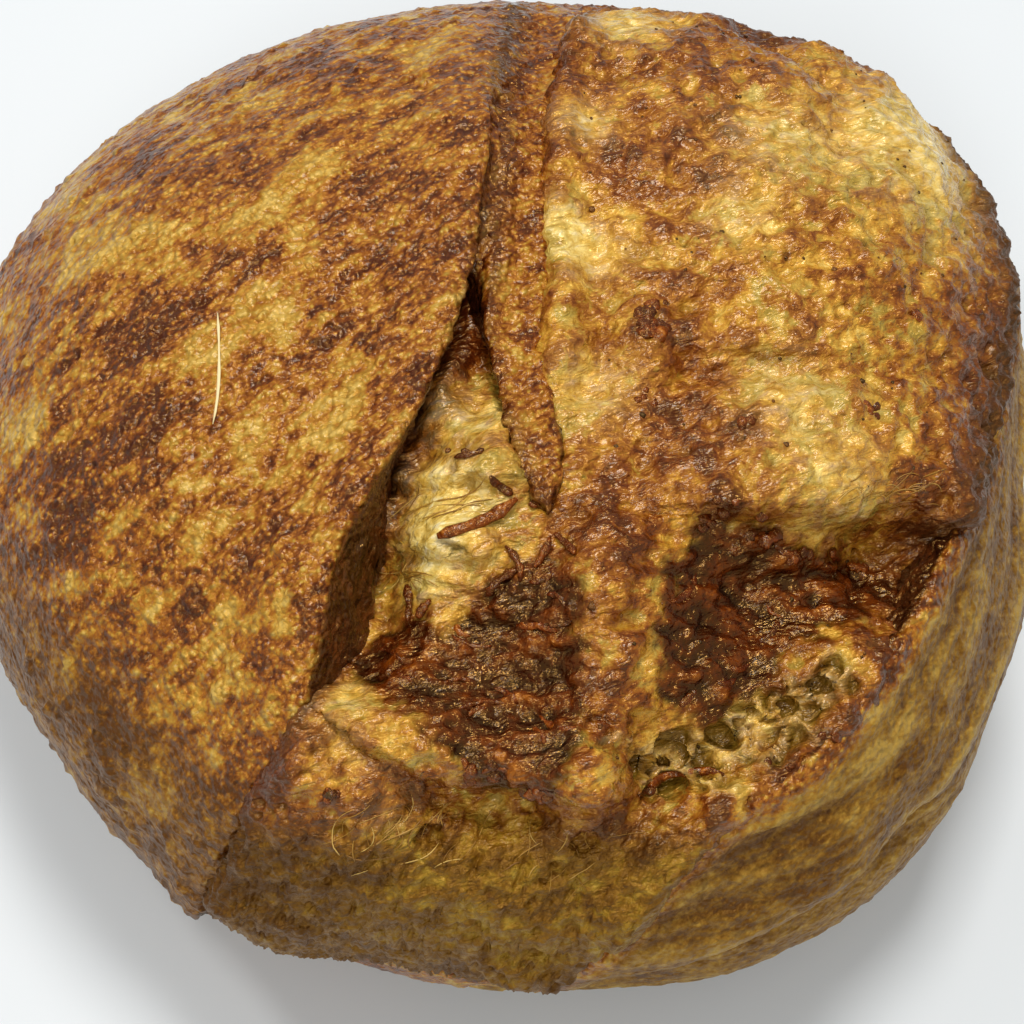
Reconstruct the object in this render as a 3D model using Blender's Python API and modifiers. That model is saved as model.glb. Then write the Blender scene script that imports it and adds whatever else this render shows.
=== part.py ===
"""A round parmesan sourdough loaf that burst open along its score.

The loaf is made the way it came about. A whole ball of dough is shaped first. Two slanting cuts are taken
out of its crust: the long score beside the ear, and the wide tear to the right of it. The crumb that swelled
up through the tear is then joined on, with its pits, ledges and shreds of cheese, so that all is one solid.

Places on the loaf are given as on a map with the top of the loaf at its centre: (u, v) are degrees from the
top, u towards +X and v towards +Y, so the belly is 90 degrees out all round. The loaf stands on the XY plane.
"""

import math
import random

import bmesh
import bpy
import numpy as np
from mathutils import Vector

# Driving dimensions, in metres
MEAN_RADIUS = 0.116  # of the outline, seen from above
HEIGHT = 0.104
BELLY_HEIGHT = 0.042  # where the loaf is widest
UNDERSIDE_DROP = 0.050  # how far the underside would reach below the belly if the floor didn't flatten it
FOOT_HEIGHT = 0.008  # the crust's relief dies out this close to the floor
CRUST_INSET = 0.007  # how far below the crust the crumb lies where the loaf stayed shut

# How full the ball of dough is: 1 is an ellipse, and less is boxier
UPPER_FULLNESS = 0.80
CROWN_FULLNESS = 0.95
LOWER_FULLNESS = 0.50
UNDERSIDE_FULLNESS = 0.80

# The outline isn't a circle: (waves round the loaf, their height in metres, degrees where highest)
OUTLINE_WAVES = ((2, 0.0010, -3.0), (3, 0.0034, 48.6), (4, 0.0018, 38.7), (5, 0.0017, 27.4))

# The edge of the ear, from the back over the top to the front: (u, v, lean).
# Lean is how far the cut runs under the crust for each metre that it goes down.
EAR = (
    (1.5, 60.0, 0.9),
    (0.0, 34.5, 0.9),
    (-1.0, 21.5, 0.9),
    (-1.0, 12.5, 0.9),
    (-1.5, 6.0, 0.9),
    (-1.5, 1.5, 0.8),
    (-2.5, -2.0, 0.7),
    (-5.5, -9.0, 0.4),
    (-9.5, -16.0, 0.0),
    (-13.5, -23.5, -0.3),
    (-16.5, -33.5, -0.4),
    (-18.5, -40.0, -0.3),
    (-21.5, -47.0, 0.0),
    (-26.5, -53.0, 0.3),
    (-32.0, -61.5, 0.3),
    (-39.5, -72.0, 0.3),
    (-50.5, -82.5, 0.3),
    (-54.0, -86.0, 0.3),
)
# The other side of that cut: a slit against the tongue of crust at the back, opening into the tear in front
TONGUE_LEFT = (
    (2.3, 60.0, -0.9),
    (0.7, 34.5, -0.9),
    (-0.3, 21.5, -0.9),
    (-0.3, 12.5, -0.9),
    (-0.9, 6.0, -0.9),
    (-0.8, 1.5, -0.5),
    (-1.0, -2.0, 0.2),
    (-0.5, -7.5, 0.5),
    (1.0, -14.0, 0.4),
    (2.6, -17.5, 0.0),
    (7.5, -22.5, 0.0),
    (9.5, -29.0, 0.0),
    (9.5, -38.0, 0.0),
    (9.0, -48.0, 0.0),
    (9.0, -58.0, 0.0),
    (9.0, -68.0, 0.0),
    (8.5, -78.0, 0.0),
    (8.5, -96.0, 0.0),
)
# The wide tear, between the right side of the tongue and the rim of the crust
TONGUE_RIGHT = (
    (11.0, 59.5, 0.2),
    (6.0, 30.0, 0.2),
    (4.0, 18.5, 0.1),
    (3.0, 8.0, 0.0),
    (2.0, 0.0, -0.2),
    (2.5, -5.0, -0.2),
    (3.5, -10.0, -0.2),
    (4.2, -13.5, 0.0),
    (3.2, -18.0, 0.0),
    (2.0, -23.0, 0.0),
    (1.0, -29.5, 0.0),
    (-0.5, -38.5, 0.0),
    (-2.5, -51.0, 0.0),
    (-4.0, -67.5, 0.0),
    (-5.5, -97.0, 0.0),
)
RIM = (
    (19.0, 57.5, 0.3),
    (33.0, 48.0, 0.3),
    (47.0, 44.5, 0.3),
    (57.5, 37.5, 0.3),
    (62.5, 28.0, 0.3),
    (64.0, 15.5, 0.3),
    (63.5, 5.5, 0.3),
    (61.0, -4.5, 0.3),
    (55.0, -15.0, 0.2),
    (49.0, -20.5, 0.0),
    (43.5, -25.5, 0.0),
    (36.0, -35.0, 0.0),
    (28.5, -45.5, 0.1),
    (20.5, -55.5, 0.2),
    (13.5, -74.0, 0.3),
    (7.0, -88.0, 0.3),
    (0.0, -98.0, 0.3),
)
CUT_DEPTH = 0.020
CUT_END_DEPTH = 0.003  # each cut grows shallow towards both of its ends
CUT_CLEARANCE = 0.024  # how far the cutters stand above the ball
CUT_FADE = 0.11  # the share of a cut's length over which it grows shallow
LIP_FADE = 0.26  # the share of its length over which a lip dies out at each end

# A lip is where the crust turned up beside a cut:
# (name, line, rise in metres, how far back it runs, side of the line that it is on)
LIPS = (
    ("ear", EAR, 0.0042, 0.024, +1),
    ("rim_lip", RIM, 0.0028, 0.015, -1),
    ("tongue_lip", TONGUE_LEFT[:9], 0.0018, 0.007, -1),
)
LIP_ROOT = 0.0050  # how deep a lip is rooted in the crust
LIP_PROUD = 0.0003  # how far its edge stands out from the wall of the cut
LIP_TUCK = 0.0003  # how far its back edge lies under the crust
# Waves all over a surface: (their height and their width in metres, seed)
CRUST_WAVES = ((0.0013, 0.034, 1), (0.0006, 0.013, 2))
CRUMB_WAVES = ((0.0012, 0.012, 3), (0.0007, 0.006, 4))
# Swells and hollows: (what it is, its line on the map, its radius and its rise in metres)
CRUST_SWELLS = (
    ("crown of the left half", ((-30.0, 5.0), (-36.0, -22.0)), 0.034, 0.0020),
    ("tongue sinks beside the ear", ((3.0, 40.0), (1.2, 12.0), (0.8, -6.0)), 0.009, -0.0022),
    ("corner where the ear ends", ((-46.0, -80.0),), 0.012, 0.0045),
    ("notch in front of that corner", ((-34.0, -88.0),), 0.016, -0.0040),
    ("foot at the front right", ((52.0, -96.0), (68.0, -78.0)), 0.016, 0.0015),
    ("fold over that foot", ((20.0, -94.0), (40.0, -79.0), (56.0, -62.0)), 0.007, -0.0045),
    ("belly band over the fold", ((4.0, -90.0), (24.0, -80.0), (42.0, -66.0)), 0.009, 0.0025),
    ("knuckle at the right", ((84.0, -30.0),), 0.016, 0.0030),
)
CRUMB_LEVEL = -0.0025  # the crumb against the ball, where nothing below raises or lowers it
CRUMB_SWELLS = (
    # The left score
    ("trough beside the ear", ((-6.0, -12.0), (-10.5, -22.0)), 0.009, -0.0095),
    ("shallower end of that trough", ((-10.5, -22.0), (-14.0, -34.0)), 0.008, -0.0060),
    (
        "crumb drawn up to the ear",
        ((-17.0, -39.0), (-20.0, -47.0), (-24.5, -53.5), (-30.0, -61.5), (-37.5, -72.0)),
        0.006,
        0.0034,
    ),
    ("trough under the tongue", ((-1.0, 4.0), (-1.5, -6.0)), 0.007, -0.0070),
    ("upper block of pale crumb", ((-3.0, -10.0),), 0.009, 0.0040),
    ("middle block of pale crumb", ((-5.5, -17.5),), 0.009, 0.0036),
    ("lower block of pale crumb", ((-8.0, -23.5),), 0.008, 0.0030),
    ("left cheese bed", ((-8.0, -30.0), (-2.0, -35.0)), 0.016, -0.0035),
    ("lower edge of the left cheese", ((-8.0, -41.5), (0.0, -45.5), (6.0, -46.5)), 0.008, 0.0050),
    ("shadow under that edge", ((-7.0, -51.0), (2.0, -52.5)), 0.006, -0.0050),
    ("knuckle below the ear", ((-17.5, -46.5), (-14.0, -51.0)), 0.011, 0.0070),
    ("heel of the ear", ((-24.0, -62.0), (-30.0, -74.0)), 0.012, 0.0040),
    ("toe of the ear", ((-38.0, -80.0), (-40.0, -90.0)), 0.012, 0.0050),
    ("front face", ((-12.0, -66.0), (4.0, -72.0)), 0.026, 0.0050),
    # The wide tear
    ("great dome", ((24.0, 24.0), (29.0, 6.0)), 0.030, 0.0070),
    ("swelling at the back", ((24.0, 46.0), (40.0, 38.0)), 0.022, 0.0030),
    ("far shoulder", ((40.0, 26.0), (50.0, 14.0)), 0.022, 0.0045),
    ("fold in the far shoulder", ((27.0, 42.0), (32.0, 30.0), (30.0, 18.0)), 0.006, -0.0040),
    ("lower half of the dome", ((30.0, -13.0), (42.0, -9.0)), 0.018, 0.0060),
    ("crease across the dome", ((14.0, -5.5), (30.0, -6.0), (44.0, -4.0)), 0.004, -0.0030),
    ("dark lump of cheese", ((10.5, -3.0),), 0.006, 0.0022),
    ("pale channel by the tongue", ((5.0, 6.0), (5.5, -6.0)), 0.006, -0.0030),
    ("ridge between the cheeses", ((7.5, -22.0), (8.5, -34.0), (8.5, -46.0)), 0.008, 0.0055),
    ("right cheese bed", ((22.0, -26.0), (32.0, -24.0)), 0.014, -0.0085),
    ("shaded hollow by the rim", ((38.0, -22.5), (41.0, -25.5)), 0.009, -0.0085),
    ("honeycomb", ((15.0, -46.5), (26.0, -41.0)), 0.011, -0.0040),
    ("shelf along the rim", ((30.0, -34.0), (22.0, -47.0)), 0.008, 0.0035),
    ("crumb that clings to the tongue", ((7.5, 38.0), (5.5, 26.0), (4.0, 12.0), (3.2, -3.0)), 0.005, 0.0032),
    ("crumb level with the front rim", ((25.0, -49.5), (19.0, -57.0), (13.5, -72.0)), 0.006, 0.0036),
    ("crumb that clings to the rim", ((55.0, 36.0), (60.5, 27.0), (61.5, 6.0), (58.5, -4.5)), 0.006, 0.0030),
    ("crumb in front of the hollow", ((41.0, -27.5), (35.0, -35.0), (28.0, -44.5)), 0.006, 0.0045),
    ("crumb behind the hollow", ((54.5, -13.0), (48.5, -19.5)), 0.006, 0.0040),
)
# A ledge is a step that stands up on one side of a line: (line, rise in metres, how far back it runs)
CRUMB_LEDGES = (
    ("shelf over the cheese", ((17.0, -17.5), (26.0, -18.5), (35.0, -19.5), (44.0, -20.5)), 0.006, 0.01),
    ("upper block of the score", ((-8.0, -14.2), (-3.5, -14.6), (1.5, -15.0)), 0.0040, 0.006),
    ("middle block of the score", ((-10.0, -20.5), (-6.5, -21.3), (-3.0, -22.5)), 0.0030, 0.006),
    ("sill of the left cheese", ((-13.0, -43.0), (-4.0, -48.5), (8.0, -49.0)), 0.0045, 0.008),
)
LEDGE_FALL = 0.0016  # how far the steep side of a ledge runs
# The pits of the torn crumb: (u, v, radius in metres)
PITS = (
    (8.2, -41.5, 0.0034),
    (26.7, -38.4, 0.0034),
    (29.5, -36.4, 0.0032),
    (20.5, -44.4, 0.0050),
    (24.2, -41.8, 0.0044),
    (16.2, -47.4, 0.0052),
    (12.0, -45.5, 0.0030),
    (8.2, -56.5, 0.0032),
    (-1.5, -56.0, 0.0032),
    (3.5, -54.0, 0.0024),
    (-8.0, -57.0, 0.0030),
)
PIT_DEPTH = 0.75  # of a pit's radius

# Shreds of cheese that lie on their own: (u, v, heading in degrees from +X, length and width in metres)
LOOSE_SHREDS = (
    (-1.9, -19.3, 32.0, 0.0150, 0.0026),
    (-0.3, -15.9, -35.0, 0.0050, 0.0020),
    (2.2, -16.2, 80.0, 0.0050, 0.0022),
    (-2.5, -13.0, 12.0, 0.0050, 0.0020),
    (-8.5, -27.2, 88.0, 0.0090, 0.0022),
    (17.6, -47.6, 24.0, 0.0150, 0.0024),
    (-0.5, -25.0, 50.0, 0.0080, 0.0022),
    (1.0, -23.2, 105.0, 0.0080, 0.0022),
    (22.0, -20.6, 20.0, 0.0050, 0.0032),
    (32.0, -22.6, -12.0, 0.0060, 0.0028),
    (37.0, -24.0, -15.0, 0.0070, 0.0024),
)
# Beds of melted cheese: the outline of each bed on the map
LEFT_BED = (
    *((-14.0, -35.0), (-8.5, -27.0), (-5.9, -30.5), (-0.3, -24.0), (4.4, -20.5), (6.2, -26.6)),
    *((7.0, -37.2), (6.0, -45.0), (4.0, -51.0), (-2.1, -49.0), (-6.8, -43.5), (-11.0, -39.4)),
)
RIGHT_BED = (
    *((14.7, -16.8), (19.5, -18.2), (26.3, -21.4), (35.0, -22.8), (42.0, -24.8), (47.5, -27.2)),
    *((37.1, -29.5), (27.5, -32.0), (23.5, -36.0), (18.5, -41.0), (13.6, -37.4), (12.0, -29.2)),
)
CHEESE_BEDS = ((LEFT_BED, 5.0, 24), (RIGHT_BED, -25.0, 18))  # heading of its shreds in degrees, how many show
BED_HEADING_SPREAD = 40.0
BED_SHRED_LENGTH = (0.0055, 0.0110)
BED_SHRED_WIDTH = (0.0016, 0.0026)
SHRED_STATIONS = 5
SHRED_FLATNESS = 0.6  # thickness over width
SHRED_BEND = 0.14  # of its length
SHRED_END = 0.35  # width of its ends over width of its middle
SHRED_TOP = 0.7  # width of its top over width of its underside
SHRED_CROWN = 0.75  # how far its middle stands out of the crumb, over its thickness
SCATTER_SEED = 11

# Burnt crags along the rim: where they start and end on the line of the rim, and how many there are
CRAG_SPAN = (0.16, 0.46)
CRAG_COUNT = 14
CRAG_SIZE = (0.0016, 0.0030)
CRAG_SPREAD = 0.8  # how unevenly they are spaced
CRAG_INWARD = (0.97, 1.0)  # their places on the map over those of the rim
CRAG_STAND = (0.0, 0.0020)
CRAG_RAGGEDNESS = (0.75, 1.15)

BALL_DETAIL = 7  # subdivisions of the icosphere that each body starts from
CURVE_STEPS = 12  # between two points of a drawn line
LINE_STOPS = 6  # for each point of a line that distances are measured from
RIM_STOPS = 201
CUT_STATIONS = 72
CUT_COLUMNS = 14
LIP_COLUMNS = 8
TONGUE_STEEPNESS = 2.0  # how fast the crumb sinks under the tongue, against elsewhere
CRUMB_END = -0.10  # height on the unit ball below which the crumb lies under the crust
UNDERSIDE_SLACK = 0.0004  # what lies this low is part of the flat underside
SKIN_GRAIN = 0.0012  # size of the even faces that the joined loaf is rebuilt from
MOST_BODY_TRIANGLES = 7000  # before the cheese is joined on

CRUST_COLOUR = (0.300, 0.110, 0.022, 1.0)
CRUST_ROUGHNESS = 0.5


# ---------------------------------------------------------------- noise

def lattice_value(cell, seed):
    """A repeatable number from -1 to 1 for each cell of a lattice."""
    x, y, z = (cell[..., k].astype(np.int64) for k in range(3))
    mixed = (x * 73856093) ^ (y * 19349663) ^ (z * 83492791) ^ (seed * 2654435761)
    mixed = (mixed ^ (mixed >> 13)) * 1274126177 & 0xFFFFFFFF
    mixed = mixed ^ (mixed >> 16)
    return (mixed & 0xFFFF) / 32767.5 - 1.0


def wave_noise(points, size, seed):
    """Smooth noise from -1 to 1, with bumps about as wide as size."""
    scaled = points / size
    cell = np.floor(scaled)
    part = scaled - cell
    blend = part * part * (3.0 - 2.0 * part)
    total = np.zeros(len(points))
    for corner in range(8):
        step = np.array([(corner >> k) & 1 for k in range(3)])
        weight = np.prod(np.where(step, blend, 1.0 - blend), axis=1)
        total += weight * lattice_value(cell + step, seed)
    return total


# ---------------------------------------------------------------- the ball of dough

def directions_of(places):
    """Unit vectors for places on the map, in degrees."""
    places = np.radians(np.asarray(places, float))
    away = np.hypot(places[:, 0], places[:, 1])
    turn = np.arctan2(places[:, 1], places[:, 0])
    return np.stack([np.sin(away) * np.cos(turn), np.sin(away) * np.sin(turn), np.cos(away)], axis=1)


def ball(directions):
    """Points of the ball of dough, without any relief."""
    turn = np.arctan2(directions[:, 1], directions[:, 0])
    radius = np.full(len(directions), MEAN_RADIUS)
    for waves, height, crest in OUTLINE_WAVES:
        radius += height * np.cos(waves * (turn - math.radians(crest)))
    level = np.hypot(directions[:, 0], directions[:, 1])
    rise = np.abs(directions[:, 2])
    above = directions[:, 2] > 0
    reach = radius * level ** np.where(above, UPPER_FULLNESS, LOWER_FULLNESS)
    crown = BELLY_HEIGHT + (HEIGHT - BELLY_HEIGHT) * rise**CROWN_FULLNESS
    under = BELLY_HEIGHT - UNDERSIDE_DROP * rise**UNDERSIDE_FULLNESS
    height = np.where(above, crown, np.maximum(under, 0.0))
    return np.stack([reach * np.cos(turn), reach * np.sin(turn), height], axis=1)


def outward(points):
    """The way that the ball's surface faces, as on the ellipsoid that it resembles."""
    depth = np.where(points[:, 2] > BELLY_HEIGHT, HEIGHT - BELLY_HEIGHT, UNDERSIDE_DROP)
    facing = np.stack(
        [
            points[:, 0] / MEAN_RADIUS**2,
            points[:, 1] / MEAN_RADIUS**2,
            (points[:, 2] - BELLY_HEIGHT) / depth**2,
        ],
        axis=1,
    )
    return facing / np.linalg.norm(facing, axis=1, keepdims=True)


def on_ball(places):
    return ball(directions_of(places))


def direction_at(points):
    """The direction whose point on the ball is nearest to a point close to the ball."""
    turn = np.arctan2(points[:, 1], points[:, 0])
    reach = ball(np.stack([np.cos(turn), np.sin(turn), 0 * turn], axis=1))
    level = np.hypot(points[:, 0], points[:, 1]) / np.hypot(reach[:, 0], reach[:, 1])
    above = points[:, 2] > BELLY_HEIGHT
    level = np.clip(level, 0, 1) ** (1 / np.where(above, UPPER_FULLNESS, LOWER_FULLNESS))
    depth = np.where(above, HEIGHT - BELLY_HEIGHT, UNDERSIDE_DROP)
    rise = np.clip(np.abs(points[:, 2] - BELLY_HEIGHT) / depth, 0, 1)
    rise = rise ** (1 / np.where(above, CROWN_FULLNESS, UNDERSIDE_FULLNESS))
    rise = np.where(above, rise, -rise)
    found = np.stack([level * np.cos(turn), level * np.sin(turn), rise], axis=1)
    return found / np.linalg.norm(found, axis=1, keepdims=True)


def smooth_line(points, count):
    """A Catmull-Rom curve through the points, read at evenly spaced places along it."""
    points = np.asarray(points, float)
    padded = np.vstack([2 * points[0] - points[1], points, 2 * points[-1] - points[-2]])
    fine = []
    for k in range(len(points) - 1):
        a, b, c, d = padded[k : k + 4]
        for t in np.linspace(0, 1, CURVE_STEPS, endpoint=False):
            bend = (2 * a - 5 * b + 4 * c - d) * t**2 + (3 * b - a - 3 * c + d) * t**3
            fine.append(0.5 * (2 * b + (c - a) * t + bend))
    fine = np.vstack([*fine, points[-1]])
    steps = np.linalg.norm(np.diff(fine[:, :2], axis=0), axis=1)
    along = np.concatenate([[0], np.cumsum(steps)])
    wanted = np.linspace(0, along[-1], count)
    return np.stack([np.interp(wanted, along, fine[:, k]) for k in range(points.shape[1])], axis=1)


def measure(points, line):
    """How far each point is from a line on the ball, and which side it is on: +1 to the line's right."""
    if len(line) == 1:
        return np.linalg.norm(points - on_ball(line)[0], axis=1), np.ones(len(points))
    places = smooth_line([place[:2] for place in line], LINE_STOPS * len(line))
    stops = on_ball(places)
    nearest = np.full(len(points), np.inf)
    side = np.zeros(len(points))
    for start, end in zip(stops[:-1], stops[1:]):
        run = end - start
        along = np.clip((points - start) @ run / (run @ run), 0, 1)
        apart = points - start - along[:, None] * run
        distance = np.linalg.norm(apart, axis=1)
        facing = outward(((start + end) / 2)[None])[0]
        closer = distance < nearest
        nearest = np.where(closer, distance, nearest)
        side = np.where(closer, np.sign(apart @ np.cross(run, facing)), side)
    return nearest, side


def waves_and_swells(points, waves, swells):
    total = np.zeros(len(points))
    for height, width, seed in waves:
        total += height * wave_noise(points, width, seed)
    for _, line, radius, rise in swells:
        distance, _ = measure(points, line)
        total += rise * np.exp(-((distance / radius) ** 2))
    return total


def ledge(points, line, rise, run):
    """Highest at the line, falling away slowly over run on its left and steeply on its right."""
    distance, side = measure(points, line)
    return rise * np.exp(-((distance / np.where(side < 0, run, LEDGE_FALL)) ** 2))


def crust_rise(points):
    return waves_and_swells(points, CRUST_WAVES, CRUST_SWELLS) * np.clip(points[:, 2] / FOOT_HEIGHT, 0, 1)


def crumb_rise(points):
    rise = CRUMB_LEVEL + waves_and_swells(points, CRUMB_WAVES, CRUMB_SWELLS)
    for _, line, height, run in CRUMB_LEDGES:
        rise += ledge(points, line, height, run)
    for u, v, radius in PITS:
        distance, _ = measure(points, ((u, v),))
        rise -= PIT_DEPTH * radius * np.clip(1.0 - (distance / radius) ** 2, 0, None) ** 0.5
    return rise


# ---------------------------------------------------------------- objects

def new_collection(name):
    collection = bpy.data.collections.new(name)
    bpy.context.scene.collection.children.link(collection)
    return collection


def add_object(name, mesh, collection):
    made = bpy.data.objects.new(name, mesh)
    collection.objects.link(made)
    return made


def add_ball(name, rise_of, lowest, collection):
    """An icosphere drawn out to the ball's shape, then raised and lowered along the way it faces."""
    shape = bmesh.new()
    bmesh.ops.create_icosphere(shape, subdivisions=BALL_DETAIL, radius=1.0)
    mesh = bpy.data.meshes.new(name)
    shape.to_mesh(mesh)
    shape.free()
    places = np.empty(len(mesh.vertices) * 3)
    mesh.vertices.foreach_get("co", places)
    directions = places.reshape(-1, 3)
    directions /= np.linalg.norm(directions, axis=1, keepdims=True)
    points = ball(directions)
    points += outward(points) * rise_of(points, directions)[:, None]
    points[:, 2] = np.maximum(points[:, 2], lowest)
    mesh.vertices.foreach_set("co", points.ravel())
    mesh.update()
    return add_object(name, mesh, collection)


def whole_crust_rise(points, directions):
    return crust_rise(points)


def open_crumb_rise(points, directions):
    """The torn crumb, sunk under the crust wherever the loaf stayed shut, which is outside both cuts."""
    from_ear, ear_side = measure(points, EAR)
    from_rim, rim_side = measure(points, RIM)
    from_left, left_side = measure(points, TONGUE_LEFT)
    from_right, right_side = measure(points, TONGUE_RIGHT)
    on_tongue = (left_side < 0) & (right_side > 0)
    shut = np.maximum(np.where(ear_side > 0, from_ear, 0.0), np.where(rim_side < 0, from_rim, 0.0))
    shut = np.maximum(shut, np.where(on_tongue, TONGUE_STEEPNESS * np.minimum(from_left, from_right), 0.0))
    below = np.clip(CRUMB_END - directions[:, 2], 0.0, 1.0) * MEAN_RADIUS
    return crumb_rise(points) - np.clip(np.maximum(shut, below), 0.0, 2.0 * CRUST_INSET)


def add_slab(name, upper, lower, collection):
    """A closed solid between two grids of points that have the same rows and columns."""
    rows, columns = upper.shape[:2]
    shape = bmesh.new()
    top = [shape.verts.new(point) for point in upper.reshape(-1, 3)]
    bottom = [shape.verts.new(point) for point in lower.reshape(-1, 3)]
    for row in range(rows - 1):
        for column in range(columns - 1):
            here = row * columns + column
            ring = (here, here + 1, here + columns + 1, here + columns)
            shape.faces.new([top[k] for k in ring])
            shape.faces.new([bottom[k] for k in reversed(ring)])
    border = [row * columns for row in range(rows)]
    border += [(rows - 1) * columns + column for column in range(1, columns)]
    border += [row * columns + columns - 1 for row in range(rows - 2, -1, -1)]
    border += list(range(columns - 2, 0, -1))
    for here, there in zip(border, border[1:] + border[:1]):
        shape.faces.new([top[here], top[there], bottom[there], bottom[here]])
    bmesh.ops.recalc_face_normals(shape, faces=shape.faces)
    mesh = bpy.data.meshes.new(name)
    shape.to_mesh(mesh)
    shape.free()
    return add_object(name, mesh, collection)


def lip_rise(line):
    """How high the lip on a line stands, which is where the line was drawn."""
    return next((rise for _, lipped, rise, _, _ in LIPS if lipped[0] == line[0]), 0.0)


def fade_to_ends(share):
    """1 along the middle of a cut, falling to 0 over this share of its length at both of its ends."""
    from_end = np.minimum(np.arange(CUT_STATIONS), np.arange(CUT_STATIONS)[::-1])
    return np.clip(from_end / (share * CUT_STATIONS), 0, 1)[:, None, None]


def add_cutter(name, left, right, collection):
    """A thick patch between two lines on the ball. Its side walls lean as the lines' third number says."""
    pivots = lip_rise(left), lip_rise(right)
    left = smooth_line(left, CUT_STATIONS)
    right = smooth_line(right, CUT_STATIONS)
    share = np.linspace(0, 1, CUT_COLUMNS)[None, :, None]
    places = left[:, None, :2] * (1 - share) + right[:, None, :2] * share
    surface = on_ball(places.reshape(-1, 2))
    facing = outward(surface).reshape(CUT_STATIONS, CUT_COLUMNS, 3)
    surface = surface.reshape(CUT_STATIONS, CUT_COLUMNS, 3)
    across = surface[:, -1:] - surface[:, :1]
    across /= np.linalg.norm(across, axis=2, keepdims=True)
    lean = left[:, None, 2:3] * (1 - share) - right[:, None, 2:3] * share
    pivot = pivots[0] * (1 - share) + pivots[1] * share
    depth = CUT_END_DEPTH + (CUT_DEPTH - CUT_END_DEPTH) * fade_to_ends(CUT_FADE)
    upper = surface + facing * CUT_CLEARANCE + across * lean * (CUT_CLEARANCE - pivot)
    lower = surface - facing * depth - across * lean * (depth + pivot)
    cutter = add_slab(name, upper, lower, collection)
    cutter.hide_render = True
    cutter.display_type = "WIRE"
    return cutter


def add_lip(name, line, rise, run, side, collection):
    """A wedge along a line: its edge stands over the line, and its back runs down into the crust."""
    stops = smooth_line(line, CUT_STATIONS)
    surface = on_ball(stops[:, :2])
    along = np.gradient(surface, axis=0)
    across = side * np.cross(along, outward(surface))
    across /= np.linalg.norm(across, axis=1, keepdims=True)
    back = np.linspace(0, 1, LIP_COLUMNS)[None, :, None]
    away = surface[:, None] + across[:, None] * (back * run - LIP_PROUD)
    places = ball(direction_at(away.reshape(-1, 3)))
    facing = outward(places).reshape(away.shape)
    level = crust_rise(places).reshape(away.shape[:2])[:, :, None]
    stand = rise * fade_to_ends(LIP_FADE) * (1 - back**2) ** 2
    upper = places.reshape(away.shape) + facing * (level + stand - LIP_TUCK)
    depth = LIP_ROOT + stand
    lower = upper - facing * depth + across[:, None] * stops[:, None, 2:3] * depth * (1 - back)
    return add_slab(name, upper, lower, collection)


def on_crumb(points):
    """The torn crumb under some points close to the ball, and the way that it faces there."""
    places = ball(direction_at(points))
    facing = outward(places)
    return places + facing * crumb_rise(places)[:, None], facing


def add_shred(name, u, v, heading, length, width, collection):
    """A bent strip that lies half sunk in the crumb, tapering to both ends."""
    middle = on_ball(((u, v),))
    ahead = np.array([math.cos(math.radians(heading)), math.sin(math.radians(heading)), 0.0])
    aside = np.array([-ahead[1], ahead[0], 0.0])
    share = np.linspace(-0.5, 0.5, SHRED_STATIONS)[:, None]
    route = middle + length * (ahead * share + aside * SHRED_BEND * (1 - 4 * share**2))
    route, facing = on_crumb(route)
    along = np.gradient(route, axis=0)
    across = np.cross(facing, along)
    across *= 0.5 * width / np.linalg.norm(across, axis=1, keepdims=True)
    across *= SHRED_END + (1 - SHRED_END) * (1 - 4 * share**2)
    high = facing * width * SHRED_FLATNESS * (SHRED_CROWN - share**2)
    low = facing * width * SHRED_FLATNESS
    upper = np.stack([route - SHRED_TOP * across + high, route + SHRED_TOP * across + high], axis=1)
    lower = np.stack([route - across - low, route + across - low], axis=1)
    return add_slab(name, upper, lower, collection)


def inside(place, outline):
    """Whether a place on the map lies within an outline."""
    crossings = 0
    for (au, av), (bu, bv) in zip(outline, outline[1:] + outline[:1]):
        if (av > place[1]) != (bv > place[1]) and place[0] < (bu - au) * (place[1] - av) / (bv - av) + au:
            crossings += 1
    return crossings % 2 == 1


def add_cheese(collection):
    rng = random.Random(SCATTER_SEED)
    for number, shred in enumerate(LOOSE_SHREDS):
        add_shred(f"loose_shred_{number}", *shred, collection)
    for bed, (outline, heading, count) in enumerate(CHEESE_BEDS):
        placed = 0
        while placed < count:
            u = rng.uniform(min(place[0] for place in outline), max(place[0] for place in outline))
            v = rng.uniform(min(place[1] for place in outline), max(place[1] for place in outline))
            if not inside((u, v), outline):
                continue
            turn = heading + rng.uniform(-BED_HEADING_SPREAD, BED_HEADING_SPREAD)
            length = rng.uniform(*BED_SHRED_LENGTH)
            width = rng.uniform(*BED_SHRED_WIDTH)
            add_shred(f"bed_{bed}_shred_{placed}", u, v, turn, length, width, collection)
            placed += 1


def add_crags(collection):
    """Jagged lumps of burnt crumb, half sunk along the edge of the rim."""
    rng = random.Random(SCATTER_SEED)
    stops = smooth_line([place[:2] for place in RIM], RIM_STOPS)
    first, last = CRAG_SPAN
    for number in range(CRAG_COUNT):
        share = first + (last - first) * (number + rng.uniform(0, CRAG_SPREAD)) / CRAG_COUNT
        u, v = stops[round(share * (RIM_STOPS - 1))] * rng.uniform(*CRAG_INWARD)
        place = on_ball(((u, v),))
        place += outward(place) * rng.uniform(*CRAG_STAND)
        shape = bmesh.new()
        bmesh.ops.create_icosphere(shape, subdivisions=1, radius=rng.uniform(*CRAG_SIZE))
        for vert in shape.verts:
            vert.co *= rng.uniform(*CRAG_RAGGEDNESS)
            vert.co += Vector(place[0])
        mesh = bpy.data.meshes.new(f"crag_{number}")
        shape.to_mesh(mesh)
        shape.free()
        add_object(f"crag_{number}", mesh, collection)


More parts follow.
